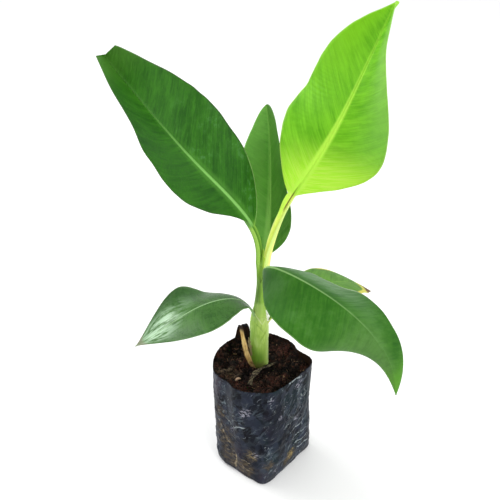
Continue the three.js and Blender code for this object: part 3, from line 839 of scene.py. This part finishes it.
# Angles are in degrees, by even steps along the leaf. A half has its width, its widest place, its shoulder,
# its taper, its lifts and its curl. A bump in an outline has its half, 1 for the right and -1 for the left,
# its place along the blade, its breadth and how far out it goes.
LEAVES = {
    "bright_leaf": {
        "start": (2.8, -0.8, 247), "length": 253.3, "blade_from": 0.288, "petiole": 3.6, "cut": 0,
        "lean": [83.9, 60.9, 68.2, 70], "heading": [-6.5, -2.6, 1.6, 2.7],
        "roll": [-7, -69.8, -39.4, -31.5], "sweep": [-0.03, 0.03],
        "right": (52.8, 0.463, 1.31, 1.08, [1.5, 8.6, 38.7], 2.2),
        "left": (51.5, 0.507, 0.78, 1.03, [17.7, -6.9, 30.8], 4.5),
        "nudge": [[-1.4, -1.2, -0.6, -0.2, 0, 0, 0]],
        "bumps": [(-1, 0.19, 0.05, 0.9), (-1, 0.33, 0.06, 1.3), (-1, 0.47, 0.035, -1.5),
                  (1, 0.66, 0.05, 1.3), (1, 0.8, 0.05, -0.8)],
    },
    "tall_left_leaf": {
        "start": (-3.7, 1.2, 247), "length": 228.6, "blade_from": 0.165, "petiole": 2.6, "cut": 0.05,
        "lean": [85.4, 53.2, 54.1, 51.5], "heading": [189, 189.5, 184.9, 158.1],
        "roll": [-4.5, 2.9, 13.3, 21.4], "sweep": [-0.12, 0.11],
        "right": (49.2, 0.377, 1.1, 0.6, [38, 39.7, 58.7], -1.9),
        "left": (50.2, 0.542, 1.27, 0.45, [-20, -7.6, 43.5], -0.5),
        "nudge": [[0.8, 1.9, 2.5, 2.3, 1.4, 0.5, 0]], "stretch": 2.8,
        "bumps": [(-1, 0.69, 0.055, 5.6), (-1, 0.6, 0.05, 1.4), (-1, 0.47, 0.1, 1.6), (-1, 0.88, 0.05, 3.2),
                  (-1, 0.06, 0.05, 1.2), (1, 0.5, 0.05, 0.8)],
    },
    "middle_leaf": {
        "start": (1.2, 4.8, 246.8), "length": 144, "blade_from": 0.03, "petiole": 2, "cut": 0,
        "lean": [53.5, 58.6, 53.9, 44.6], "heading": [77, 84, 92, 99.6],
        "roll": [-2.5, 41], "sweep": [0.19, -0.12],
        "right": (33, 0.378, 0.83, 0.51, [23, 44, 31], -10.5),
        "left": (33, 0.389, 0.82, 0.67, [30, 30, 29.5], -3),
        "bumps": [(1, 0.1, 0.1, 2), (1, 0.7, 0.06, 0.9)],
    },
    "low_left_leaf": {
        "start": (-7.3, 1, 186), "length": 139.3, "blade_from": 0.06, "petiole": 2, "cut": 0,
        "lean": [72, 10, -26.7, -30.4], "heading": [207, 206, 200.5, 189],
        "roll": [-2, 13], "sweep": [-0.07, -0.85],
        "right": (38.3, 0.656, 0.7, 1.27, [12, -17.5, 32], 16),
        "left": (38.3, 0.637, 0.65, 1.28, [2, 13, 22], 16),
        "bumps": [(1, 0.62, 0.16, -2.4), (1, 0.2, 0.09, -1.4), (1, 0.42, 0.07, 1.2)],
    },
    "low_right_leaf": {
        "start": (2, -1.3, 229), "length": 230.3, "blade_from": 0.143, "petiole": 2.6, "cut": 0,
        "lean": [62, 14.9, -26.9, -81], "heading": [-102.5, -55.2, -34.7, -33],
        "roll": [-9.8, -43.3], "sweep": [-0.27, -0.2],
        "right": (43.7, 0.544, 0.78, 0.76, [-40, 8.7, -74.5], 25.5),
        "left": (43.5, 0.521, 0.86, 0.81, [-19.6, -46.4, -18.8], 22.4),
        "bumps": [(-1, 0.1, 0.05, 3.5), (-1, 0.6, 0.07, 4), (-1, 0.78, 0.07, -2.6)],
    },
    "old_back_leaf": {
        "start": (5.6, 4.2, 177), "length": 124.6, "blade_from": 0.183, "petiole": 2, "cut": 0,
        "lean": [50, 18.3, -13, -42], "heading": [22.7, 21.5, 21.8, 19.2],
        "roll": [-1, 7], "sweep": [0.11, -0.03],
        "right": (28.6, 0.464, 0.62, 1.05, [15, 8, 5], 21),
        "left": (28.6, 0.465, 0.63, 1.06, [13, 13, -1], 22),
        "stretch": 1.5, "bumps": [(1, 0.9, 0.07, 3)],
    },
}
THICKNESS_SHARE, TIP_HALF, RIB_SHRINK, OPENS_BY = 0.0105, 0.5, 0.25, 3
BLADE_HALF = 0.24  # half of a real blade's thickness, with its waxy skins
VEIN_GAP, VEIN_LEAN, VEIN_BEND = 3.4, 0.6, 0.004
PETIOLE_ROWS, BLADE_ROWS, SHEATH_ROWS, HALF_COLUMNS, ON_RIB, COLLAR_ROWS = 46, 210, 44, 26, 9, 4
RIB_STEPS = 3000
# How far each leaf's sheath runs down the stem from its petiole, and the angle to either side it reaches.
SHEATHS = {"bright_leaf": (46, 1.5), "tall_left_leaf": (60, 2.2), "middle_leaf": (18, 0.8),
           "low_right_leaf": (44, 2.0), "low_left_leaf": (26, 1.5), "old_back_leaf": (26, 1.4)}


def rib_direction(leaf, t):
    lean, heading = [np.radians(along(leaf[key], t)) for key in ("lean", "heading")]
    return xyz(np.cos(lean) * np.cos(heading), np.cos(lean) * np.sin(heading), np.sin(lean))


def rib_frames(leaf, times):
    """The rib's points at the times given, and its directions ahead, to the blade's right and to its face."""
    fine = np.linspace(0, 1, RIB_STEPS + 1)
    steps = rib_direction(leaf, (fine[1:] + fine[:-1]) / 2) * leaf["length"] / RIB_STEPS
    line = np.concatenate([np.zeros((1, 3)), np.cumsum(steps, axis=0)]) + leaf["start"]
    points = xyz(*[np.interp(times, fine, line[:, k]) for k in range(3)])
    ahead = rib_direction(leaf, times)
    heading = np.radians(along(leaf["heading"], times))
    side = xyz(np.sin(heading), -np.cos(heading), 0)
    roll = -np.radians(along(leaf["roll"], times))[:, None]
    side = side * np.cos(roll) + np.cross(ahead, side) * np.sin(roll)
    return points, ahead, side, np.cross(side, ahead)


def outline(u, widest, shoulder, taper):
    v = np.maximum(u, 1e-9) ** (math.log(0.5) / math.log(widest))
    return np.maximum(np.sin(np.pi * v), 0) ** (shoulder + (taper - shoulder) * v)


def sheath_rings_below(leaf, down, wrap, ring, ahead, signed, rib_radius):
    """Rings that turn the petiole's foot into a skin laid round the stem, down to where it merges with it."""
    v = np.linspace(0, 1, SHEATH_ROWS)[1:, None]
    start = np.array(leaf["start"])
    level = start[2] - down * v
    centre_x, centre_y, radius = stem_at(np.clip(level - STEM_BASE, 0, 125))
    out = radius + 0.35 - 0.85 * ease((v - 0.7) / 0.3)
    facing = math.atan2(start[1] - centre_y[0, 0], start[0] - centre_x[0, 0])
    narrow = math.asin(min(rib_radius / radius[0, 0], 0.97))
    angle = facing - signed * lerp(narrow, wrap, ease(v) ** 0.9)
    is_outer = np.arange(len(signed)) >= len(signed) // 2
    wrapped = on_circle(np.where(is_outer, out, radius - 0.6), angle, level) + xyz(centre_x, centre_y, 0)
    lowered = lerp(-ahead, np.array([0, 0, -1.0]), ease(v / 0.3)) * down * v
    return lerp(ring[None] + lowered[:, None], wrapped, ease(v / 0.42)[..., None]), v[:, 0]


def half_width(leaf, hand, u, times, radius, wavy, slow, wing):
    """How wide one half is all along the leaf: its outline with a wavy margin, and no less than the rib."""
    width, widest, shoulder, taper, *_ = leaf["left" if hand < 0 else "right"]
    flat = width * outline(u * (1 - leaf["cut"]), widest, shoulder, taper)
    flat = flat + wavy * np.minimum(flat / 12, 1)
    for on, place, breadth, out in leaf.get("bumps", []):
        flat = flat + (out * hump(u - place, breadth) if on == hand else 0)
    if hand < 0:
        flat = flat * lerp(slow[1], 1, ease(u / slow[0]))
        winged = ease((times / leaf["blade_from"] - 0.72) / 0.25) * (1 - ease(u / 0.06))
    else:
        winged = ease(times / 0.02) * (1 - ease(u / 0.05))
    return np.maximum(flat, np.where(u < 0.5, radius, TIP_HALF) + wing * winged)


def leaf_half(leaf, hand, rib, half, wave, corrugation, seed, petiole, grooved):
    """One half's upper and lower skins, from the rib out, and the two vectors that they carry."""
    point, ahead, side, face, times, u, radius = rib
    *_, lift_keys, curl = leaf["left" if hand < 0 else "right"]
    lift, curl = np.radians(along(lift_keys, u)), math.radians(curl)
    opened = np.clip((half / radius - 1) / OPENS_BY, 0, 1) * ease(u / 0.012)
    k = np.arange(HALF_COLUMNS)
    near = np.minimum(k / ON_RIB, 1) * np.minimum(1.35 * np.minimum(radius / half, 1), 1)
    beyond = np.clip((k - ON_RIB) / (HALF_COLUMNS - 1 - ON_RIB), 0, 1)
    wide = near + (1 - near) * (0.8 * beyond + 0.2 * beyond**2)
    share = lerp(np.linspace(0, 1, HALF_COLUMNS), wide, opened)

    tilt = lift - curl * share
    sideways = hand * half * (np.sin(lift) - np.sin(tilt)) / curl
    upwards = half * (np.cos(tilt) - np.cos(lift)) / curl
    onwards = along(leaf["sweep"], u) * half * (u > 0) * share**2
    middle = point + side * sideways[..., None] + face * upwards[..., None] + ahead * onwards[..., None]
    tilt = np.where(share > 0, tilt, 0) * ease(share * half / radius * 2)
    normal = face * np.cos(tilt)[..., None] - side * (hand * np.sin(tilt))[..., None]

    away = share * half
    ribs_away, margin = away / radius, half - away
    run = (times - leaf["blade_from"]) * leaf["length"]
    vein = run - VEIN_LEAN * away - VEIN_BEND * away**2
    calm = ease(ribs_away / 2.5 - 0.5) * opened * ease(margin / 6 + 0.2)
    ripple = corrugation * np.sin(2 * np.pi * vein / VEIN_GAP + 3 * rough(middle, 30, seed)) * calm
    swing = wave * rough(xyz(run * 0.05, hand, 0), 1.0, seed + 2)
    swing = swing * share**2 * opened * np.minimum(half / 20, 1)
    middle = middle + normal * (swing + ripple)[..., None]

    stalk_half = lerp(petiole * leaf["length"] * THICKNESS_SHARE / 2, 0.4, ease((ribs_away - 0.45) / 0.6))
    skin = lerp(stalk_half, BLADE_HALF * (1 - 0.5 * share**6), opened)
    swell = radius * np.sqrt(np.maximum(1 - ribs_away**2, 0))
    deep = 0.62 * np.exp(-((ribs_away / 0.62) ** 4))
    narrow = 0.38 * hump(ribs_away, 0.4) - 0.22 * hump(ribs_away - 0.95, 0.45)
    groove = radius * lerp(deep, narrow * grooved, opened)
    upper = middle + normal * (skin - groove)[..., None]
    lower = middle - normal * (skin + swell)[..., None]
    return upper, lower, xyz(hand * share, vein / 1000, ribs_away), xyz(u, 1, margin / 1000)


def leaf_piece(name, material, wave=0.5, corrugation=0.1, seed=1, slim=0.7, slow=(0.01, 1), wings=(0, 0),
               edge=0.6, petiole=1.0, grooved=1.0):
    """A fine leaf in place of its node: an upper and a lower skin that meet at the margins, and its sheath.
    Slim is the midrib's share of the solid's, petiole the petiole's and grooved its groove's. Slow is where
    the left half has opened in full and its share of that at first. Wings are what the blade's right and left
    halves leave along the petiole, and edge is how wavy the margin is."""
    leaf = LEAVES[name]
    blade_from = leaf["blade_from"]
    even = np.linspace(0, 1, BLADE_ROWS)
    blade_times = lerp(blade_from, 1, 0.7 * even + 0.3 * (0.5 - 0.5 * np.cos(np.pi * even)))
    times = np.concatenate([np.linspace(0, blade_from, PETIOLE_ROWS, endpoint=False), blade_times])
    point, ahead, side, face = rib_frames(leaf, times)
    u = np.clip((times - blade_from) / (1 - blade_from), 0, 1)
    rib_radius = leaf["petiole"] * lerp(1, RIB_SHRINK, times) * lerp(petiole, slim, ease(u / 0.22))
    if "nudge" in leaf:
        point[:, 0] += along(leaf["nudge"][0], times / 0.3)
    point += ahead * (leaf.get("stretch", 0) * ease((u - 0.85) / 0.15))[:, None]
    rib = [v[:, None] for v in (point, ahead, side, face, times, u, rib_radius)]
    halves = []
    for hand, wing in ((-1, wings[1]), (1, wings[0])):
        wavy = edge * rough(xyz(u * 9, hand, 0), 1.0, seed + 4, 2)
        half = half_width(leaf, hand, u, times, rib_radius, wavy, slow, wing)[:, None]
        halves.append(leaf_half(leaf, hand, rib, half, wave, corrugation, seed, petiole, grooved))
    upper, lower, places, runs = [np.concatenate([left[:, :0:-1], right], axis=1)
                                  for left, right in zip(*halves)]
    rings, places = there_and_back(upper, lower), there_and_back(places, places)
    runs = there_and_back(runs, runs * [1, 0, 1])
    columns = rings.shape[1]

    def carried(rows, down):
        """The numbers that a skin of these rows of the leaf carries, with those of its two end points."""
        def spread_out(grid):
            return np.concatenate([grid[rows].reshape(-1, 3), grid[rows[:1], 0], grid[rows[-1:], 0]])

        lowered = np.concatenate([np.repeat(down, columns), down[:1], down[-1:]])
        return {"leaf_place": spread_out(places), "leaf_run": spread_out(runs), "leaf_down": lowered}

    points, faces = tube(rings)
    numbers = carried(np.arange(len(rings)), np.zeros(len(rings)))
    made = piece(name + "_blade", points, faces, material, numbers)
    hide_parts(name)

    down, wrap = SHEATHS[name]
    below, v = sheath_rings_below(leaf, down, wrap, rings[0], ahead[0], places[0, :, 0], rib_radius[0])
    collar = rings[:COLLAR_ROWS]
    collar = collar + 0.015 * (collar - collar.mean(axis=1, keepdims=True))
    skin = np.concatenate([below[::-1], collar])
    points, faces = tube(skin)
    open_end = [f for f in faces if len(skin) * columns + 1 not in f]
    rows = np.concatenate([np.zeros(len(below), int), np.arange(COLLAR_ROWS)])
    numbers = carried(rows, np.concatenate([v[::-1], np.zeros(COLLAR_ROWS)]))
    piece(name + "_sheath", points[:-1], open_end, material,
          {key: value[:-1] for key, value in numbers.items()})


def leaf_finish(name, coats, dark, light, rib, under, margin, through, petiole, channel, petiole_edge=None,
                slit=None, see=0.25, gloss=0.38, lustre=0.3, seed=1.0, streak=1.0, rib_band=1.25,
                rib_fades=0.0):
    """A leaf's finish, from its main colours. Coats gives what only this leaf has. See is how much light
    comes through, streak how strongly the veins show, rib_band how wide the rib's colour is, and rib_fades
    how far it fades towards the tip. Slit is the colour of the seam of a petiole that has just opened: brown,
    with painted shade in it."""
    leaf = Finish(name)
    leaf.side, leaf.vein, leaf.off_rib = leaf.parts("leaf_place")
    leaf.u, upper, leaf.to_margin = leaf.parts("leaf_run")
    spot = leaf.place()
    wide = leaf.grain(leaf.point(leaf.vein * 210, leaf.side * 1.6, seed), 1, 3, 0.6)
    leaf.fine = leaf.grain(leaf.point(leaf.vein * 760, leaf.side * 2.2, seed + 5), 1, 2, 0.6)
    leaf.cloud = leaf.grain(spot, 26, 2)
    leaf.mottle = leaf.grain(spot, 210, 4, 0.65)
    shade = wide * 0.55 * streak + leaf.fine * 0.4 * streak + leaf.mottle * 0.3 + leaf.cloud * 0.5
    reach = 0.8 + 0.95 * streak
    shade = shade.rise(0.36 * reach, 0.64 * reach)
    band = leaf.off_rib.fall(rib_band * 0.5, rib_band * 1.5)
    colour = leaf.over(
        leaf.mix(shade, dark, light),
        (leaf.to_margin.fall(0.0004, 0.0013) * 0.7, margin),
        *coats(leaf),
        (band * (0.95 - rib_fades * leaf.u.rise(0.2, 0.85)), rib))
    lower = leaf.mix(leaf.fine.rise(0.4, 0.6) * 0.6 + shade * 0.3, leaf.mix(0.35, under, dark), under)
    lower = leaf.mix(band * 0.8, lower, leaf.mix(0.5, under, rib))
    bare = leaf.over(
        leaf.mix(leaf.fine * 0.7, petiole, leaf.mix(0.35, petiole, under)),
        (upper * leaf.off_rib.fall(0.35, 0.8) * 0.85, channel),
        (leaf.to_margin.fall(0.0002, 0.0009) * 0.7, petiole_edge or margin))
    on_stalk = leaf.u.fall(0.0, 0.035)
    colour = leaf.over(colour, (1 - upper, lower), (on_stalk, bare))
    if slit:
        yellower = leaf.side.fall(-0.4, 0.0) * leaf.vein.rise(-0.03, -0.014) * on_stalk
        # The seam: brown, with painted shade in it.
        seam = leaf.off_rib.fall(0.1, 0.3) * upper * leaf.vein.rise(-0.018, -0.011)
        seam *= leaf.vein.fall(0.002, 0.018)
        colour = leaf.over(colour, (yellower * 0.9, (200, 250, 80)), (seam * 0.9, slit))
    colour = leaf.mix(leaf.value("leaf_down").rise(0.0, 0.2), colour, stalk_tones(leaf, spot)[0])
    roughness = gloss + 0.14 * leaf.mottle + 0.2 * (1 - upper) + 0.08 * wide
    relief = leaf.bump(wide * 0.8 + leaf.fine * 0.4 + leaf.mottle * 0.15, 0.0007, 0.45)
    skin = leaf.skin(colour, roughness, lustre, relief)
    lit = leaf.node("BsdfTranslucent", {}, {"Color": linear(*through), "Normal": relief})
    return leaf.out(leaf.node("MixShader", {}, {0: see * (1 - on_stalk), 1: skin, 2: lit}))


# THE OLD LEAF AT THE BACK
# The lowest but one, turning light green, with a yellow margin and a tip that has dried brown.


def old_tip(leaf):
    rimmed = leaf.to_margin.fall(0.001, 0.006) * leaf.u.rise(0.35, 0.65)
    yellow = (rimmed + leaf.u.rise(0.78, 0.88)).rise(0.1, 0.7)
    dried = (leaf.u + 0.06 * leaf.mottle).rise(0.885, 0.925)
    return [(yellow * 0.9, (240, 230, 104)), (dried, (150, 84, 40)),
            (dried * leaf.mottle.rise(0.44, 0.54), (56, 34, 26))]


old_material = leaf_finish(
    "old_leaf", old_tip, dark=(66, 116, 40), light=(112, 160, 68), rib=(134, 178, 88), under=(130, 176, 96),
    margin=(214, 214, 118), through=(150, 200, 60), petiole=(158, 196, 92), channel=(110, 150, 60), seed=2.0)
leaf_piece("old_back_leaf", old_material, seed=3, slim=0.5, petiole=0.8)

# THE LOW LEFT LEAF
# A mature leaf, dark and waxy, with a painted highlight in pale streaks where it turns down, and a withered
# grey point.


def painted_gloss_and_grey_point(leaf):
    # A painted highlight: pale mint streaks on the outer part.
    painted_gloss = leaf.grain(leaf.point(leaf.vein * 60, leaf.side * 9, 3.0), 1, 3, 0.6).rise(0.35, 0.62)
    outer = (leaf.u + 0.18 * leaf.side).rise(0.52, 0.8) * abs(leaf.side).fall(0.15, 0.85)
    return [(outer * painted_gloss * 0.8, (206, 238, 204)), (leaf.side.rise(0.1, 0.9) * 0.4, (84, 116, 78)),
            ((leaf.u + 0.05 * leaf.mottle).rise(0.935, 0.98) * 0.85, (132, 130, 108))]


low_left_material = leaf_finish(
    "waxy_leaf", painted_gloss_and_grey_point, dark=(32, 78, 18), light=(66, 114, 40), rib=(166, 204, 150),
    under=(104, 146, 92), margin=(140, 178, 116), through=(90, 160, 50), petiole=(120, 160, 80),
    channel=(78, 112, 56), see=0.12, gloss=0.17, lustre=0.22, seed=8.0, streak=0.5, rib_band=0.9)
leaf_piece("low_left_leaf", low_left_material, wave=0.8, corrugation=0.05, seed=5, slim=0.5, petiole=0.66)

# THE LOW RIGHT LEAF
# The widest of the arching leaves, dull green, with a fine pale midrib that bends down with it.


def low_right_tones(leaf):
    # Painted light: a grey sheen on the upper half, a highlight line along its margin and a lighter end.
    painted_grey_sheen = (leaf.side + 0.25 * leaf.mottle).fall(-0.4, 0.1) * leaf.u.fall(0.35, 0.75)
    pale_line = leaf.to_margin.fall(0.0012, 0.0035) * leaf.side.fall(-0.8, -0.3)
    return [(painted_grey_sheen * (0.35 + 0.5 * leaf.fine.rise(0.42, 0.6)), (140, 174, 134)),
            (leaf.u.fall(0.1, 0.5) * leaf.side.rise(0.0, 0.4) * 0.75, (28, 76, 14)),
            ((leaf.cloud * 0.6 + leaf.mottle * 0.4).rise(0.5, 0.66) * 0.2, (96, 140, 84)),
            (leaf.u.rise(0.55, 0.75) * leaf.side.rise(-0.5, 0.2) * 0.2, (142, 176, 112)),
            (pale_line * leaf.u.rise(0.24, 0.34) * leaf.u.fall(0.55, 0.66) * 0.85, (196, 224, 176)),
            (leaf.u.rise(0.84, 0.96) * 0.8, (92, 154, 42))]


low_right_material = leaf_finish(
    "arching_leaf", low_right_tones, dark=(38, 94, 20), light=(70, 126, 40), rib=(154, 196, 124),
    under=(116, 160, 84), margin=(120, 168, 84), through=(100, 180, 40), petiole=(76, 126, 50),
    channel=(60, 112, 36), see=0.18, gloss=0.42, lustre=0.1, seed=13.0, streak=0.85, rib_band=1.0,
    rib_fades=0.95)
leaf_piece("low_right_leaf", low_right_material, wave=0.7, corrugation=0.05, seed=7, slim=0.36, petiole=0.9)

# THE MIDDLE LEAF
# It stands behind the two tall ones, folded a little along its midrib, so that its right half is in shade.


def half_in_shade(leaf):
    paler = leaf.side.rise(0.1, 0.9) * leaf.fine.rise(0.45, 0.6) * leaf.u.fall(0.2, 0.5)
    return [(leaf.side.fall(-0.3, 0.0) * 0.3, (132, 186, 84)),
            (leaf.side.rise(-0.02, 0.06) * 0.6, (48, 84, 20)),
            (paler * 0.4, (112, 168, 76))]


middle_material = leaf_finish(
    "middle_green", half_in_shade, dark=(70, 138, 36), light=(108, 174, 64), rib=(136, 190, 88),
    under=(104, 150, 74), margin=(128, 184, 94), through=(120, 200, 40), petiole=(130, 180, 84),
    channel=(80, 130, 46), see=0.22, gloss=0.42, lustre=0.26, seed=21.0, rib_band=2.0, rib_fades=0.5)
leaf_piece("middle_leaf", middle_material, seed=9, slim=0.9, slow=(0.4, 0.6), grooved=0.1)

# THE TALL LEFT LEAF
# Fully grown and the darkest green, with a strong pale midrib and a blunt, nicked tip.


def tall_left_tones(leaf):
    # grey is a painted grey sheen on the right half.
    grey = leaf.side.rise(-0.1, 0.3) * leaf.mottle.rise(0.5, 0.64) * leaf.cloud.rise(0.4, 0.6)
    pale_line = leaf.to_margin.fall(0.0004, 0.0015) * leaf.side.rise(0.3, 0.8) * leaf.u.fall(0.18, 0.32)
    return [(leaf.side.fall(-0.35, 0.0) * 0.35, (34, 88, 20)),
            (grey * leaf.u.fall(0.55, 0.75) * 0.5, (96, 150, 92)),
            (leaf.u.rise(0.86, 0.97) * 0.5, (90, 146, 52)),
            (pale_line * 0.9, (190, 238, 140)),
            (leaf.off_rib.fall(2.0, 5.0) * leaf.u.fall(0.3, 0.7) * 0.4, (96, 160, 58))]


tall_left_material = leaf_finish(
    "dark_leaf", tall_left_tones, dark=(28, 82, 10), light=(64, 130, 30), rib=(152, 214, 114),
    under=(98, 150, 70), margin=(66, 96, 40), through=(90, 170, 30), petiole=(132, 180, 64),
    channel=(66, 124, 30), petiole_edge=(162, 204, 90), see=0.18, gloss=0.4, lustre=0.24, seed=34.0,
    rib_band=0.9, rib_fades=0.6)
leaf_piece("tall_left_leaf", tall_left_material, wave=0.8, seed=11, slim=0.95, slow=(0.1, 0), wings=(1.5, 0))

# THE BRIGHT LEAF
# The newest one, unrolled days ago: still thin and yellow-green, so that daylight shines through it.


def bright_tones(leaf):
    # lemon: the base is yellower, and brighter as painted light where it faces the sun.
    lemon = leaf.mix(leaf.fine.rise(0.38, 0.62), (196, 255, 60), (220, 255, 96))
    # pale: a painted grey reflection of the sky on the right half.
    pale = (leaf.side + 0.5 * leaf.cloud).rise(0.45, 1.0) * leaf.u.rise(0.25, 0.6)
    return [((leaf.u - 0.12 * leaf.side).fall(0.12, 0.38) * 0.95, lemon),
            (leaf.side.fall(-0.8, -0.1) * leaf.u.rise(0.35, 0.8) * 0.5, (140, 208, 18)),
            (pale * 0.5, (160, 204, 114))]


bright_material = leaf_finish(
    "new_leaf", bright_tones, dark=(84, 152, 12), light=(136, 204, 42), rib=(212, 255, 92),
    under=(160, 220, 84), margin=(206, 240, 130), through=(176, 238, 44), petiole=(252, 255, 148),
    channel=(230, 250, 110), slit=(92, 78, 22), see=0.34, gloss=0.42, lustre=0.24, seed=55.0, streak=1.5,
    rib_band=1.5, rib_fades=0.6)
leaf_piece("bright_leaf", bright_material, wave=0.9, corrugation=0.14, seed=13, slim=0.85, edge=0.7,
           wings=(0, 1.8), grooved=0.55)

# THE STUDIO
# A plain pale floor in even white light, with a large soft lamp at the upper left, and the camera where the
# photograph was taken from.
floor_finish = Finish("pale_floor")
floor_sockets = {"Base Color": (0.95, 0.95, 0.95, 1), "Roughness": 0.9}
floor_mesh = bpy.data.meshes.new("floor")
floor_mesh.from_pydata([(-8, -8, 0), (8, -8, 0), (8, 8, 0), (-8, 8, 0)], [], [(0, 1, 2, 3)])
floor_mesh.materials.append(floor_finish.out(floor_finish.node("BsdfPrincipled", {}, floor_sockets)))
floor = bpy.data.objects.new("floor", floor_mesh)
bpy.context.scene.collection.objects.link(floor)

world = bpy.data.worlds.new("white_room")
world.use_nodes = True
world.node_tree.nodes["Background"].inputs["Color"].default_value = (1, 1, 1, 1)
world.node_tree.nodes["Background"].inputs["Strength"].default_value = 0.92
bpy.context.scene.world = world


def lamp(name, location, target, size, power):
    light = bpy.data.lights.new(name, "AREA")
    light.shape = "DISK"
    light.size = size
    light.energy = power
    made = bpy.data.objects.new(name, light)
    made.location = location
    made.rotation_euler = (Vector(target) - Vector(location)).to_track_quat("-Z", "Y").to_euler()
    bpy.context.scene.collection.objects.link(made)
    return made


lamp("high_left", (-1.07, 0.58, 1.29), (0, 0, 0.25), 1.1, 12)
lamp("small_left", (-1.07, 0.58, 1.29), (0, 0, 0.2), 0.3, 3)
lamp("front_right", (1.0, -1.2, 1.5), (0, 0, 0.3), 1.2, 16)

camera_data = bpy.data.cameras.new("camera")
camera_data.sensor_width = 36
camera_data.lens = 54
camera = bpy.data.objects.new("camera", camera_data)
camera.location = (-0.0119, -0.560, 0.6333)
camera.rotation_euler = (math.radians(56.4), 0, 0)
bpy.context.scene.collection.objects.link(camera)
bpy.context.scene.camera = camera
bpy.context.scene.view_settings.view_transform = "Standard"
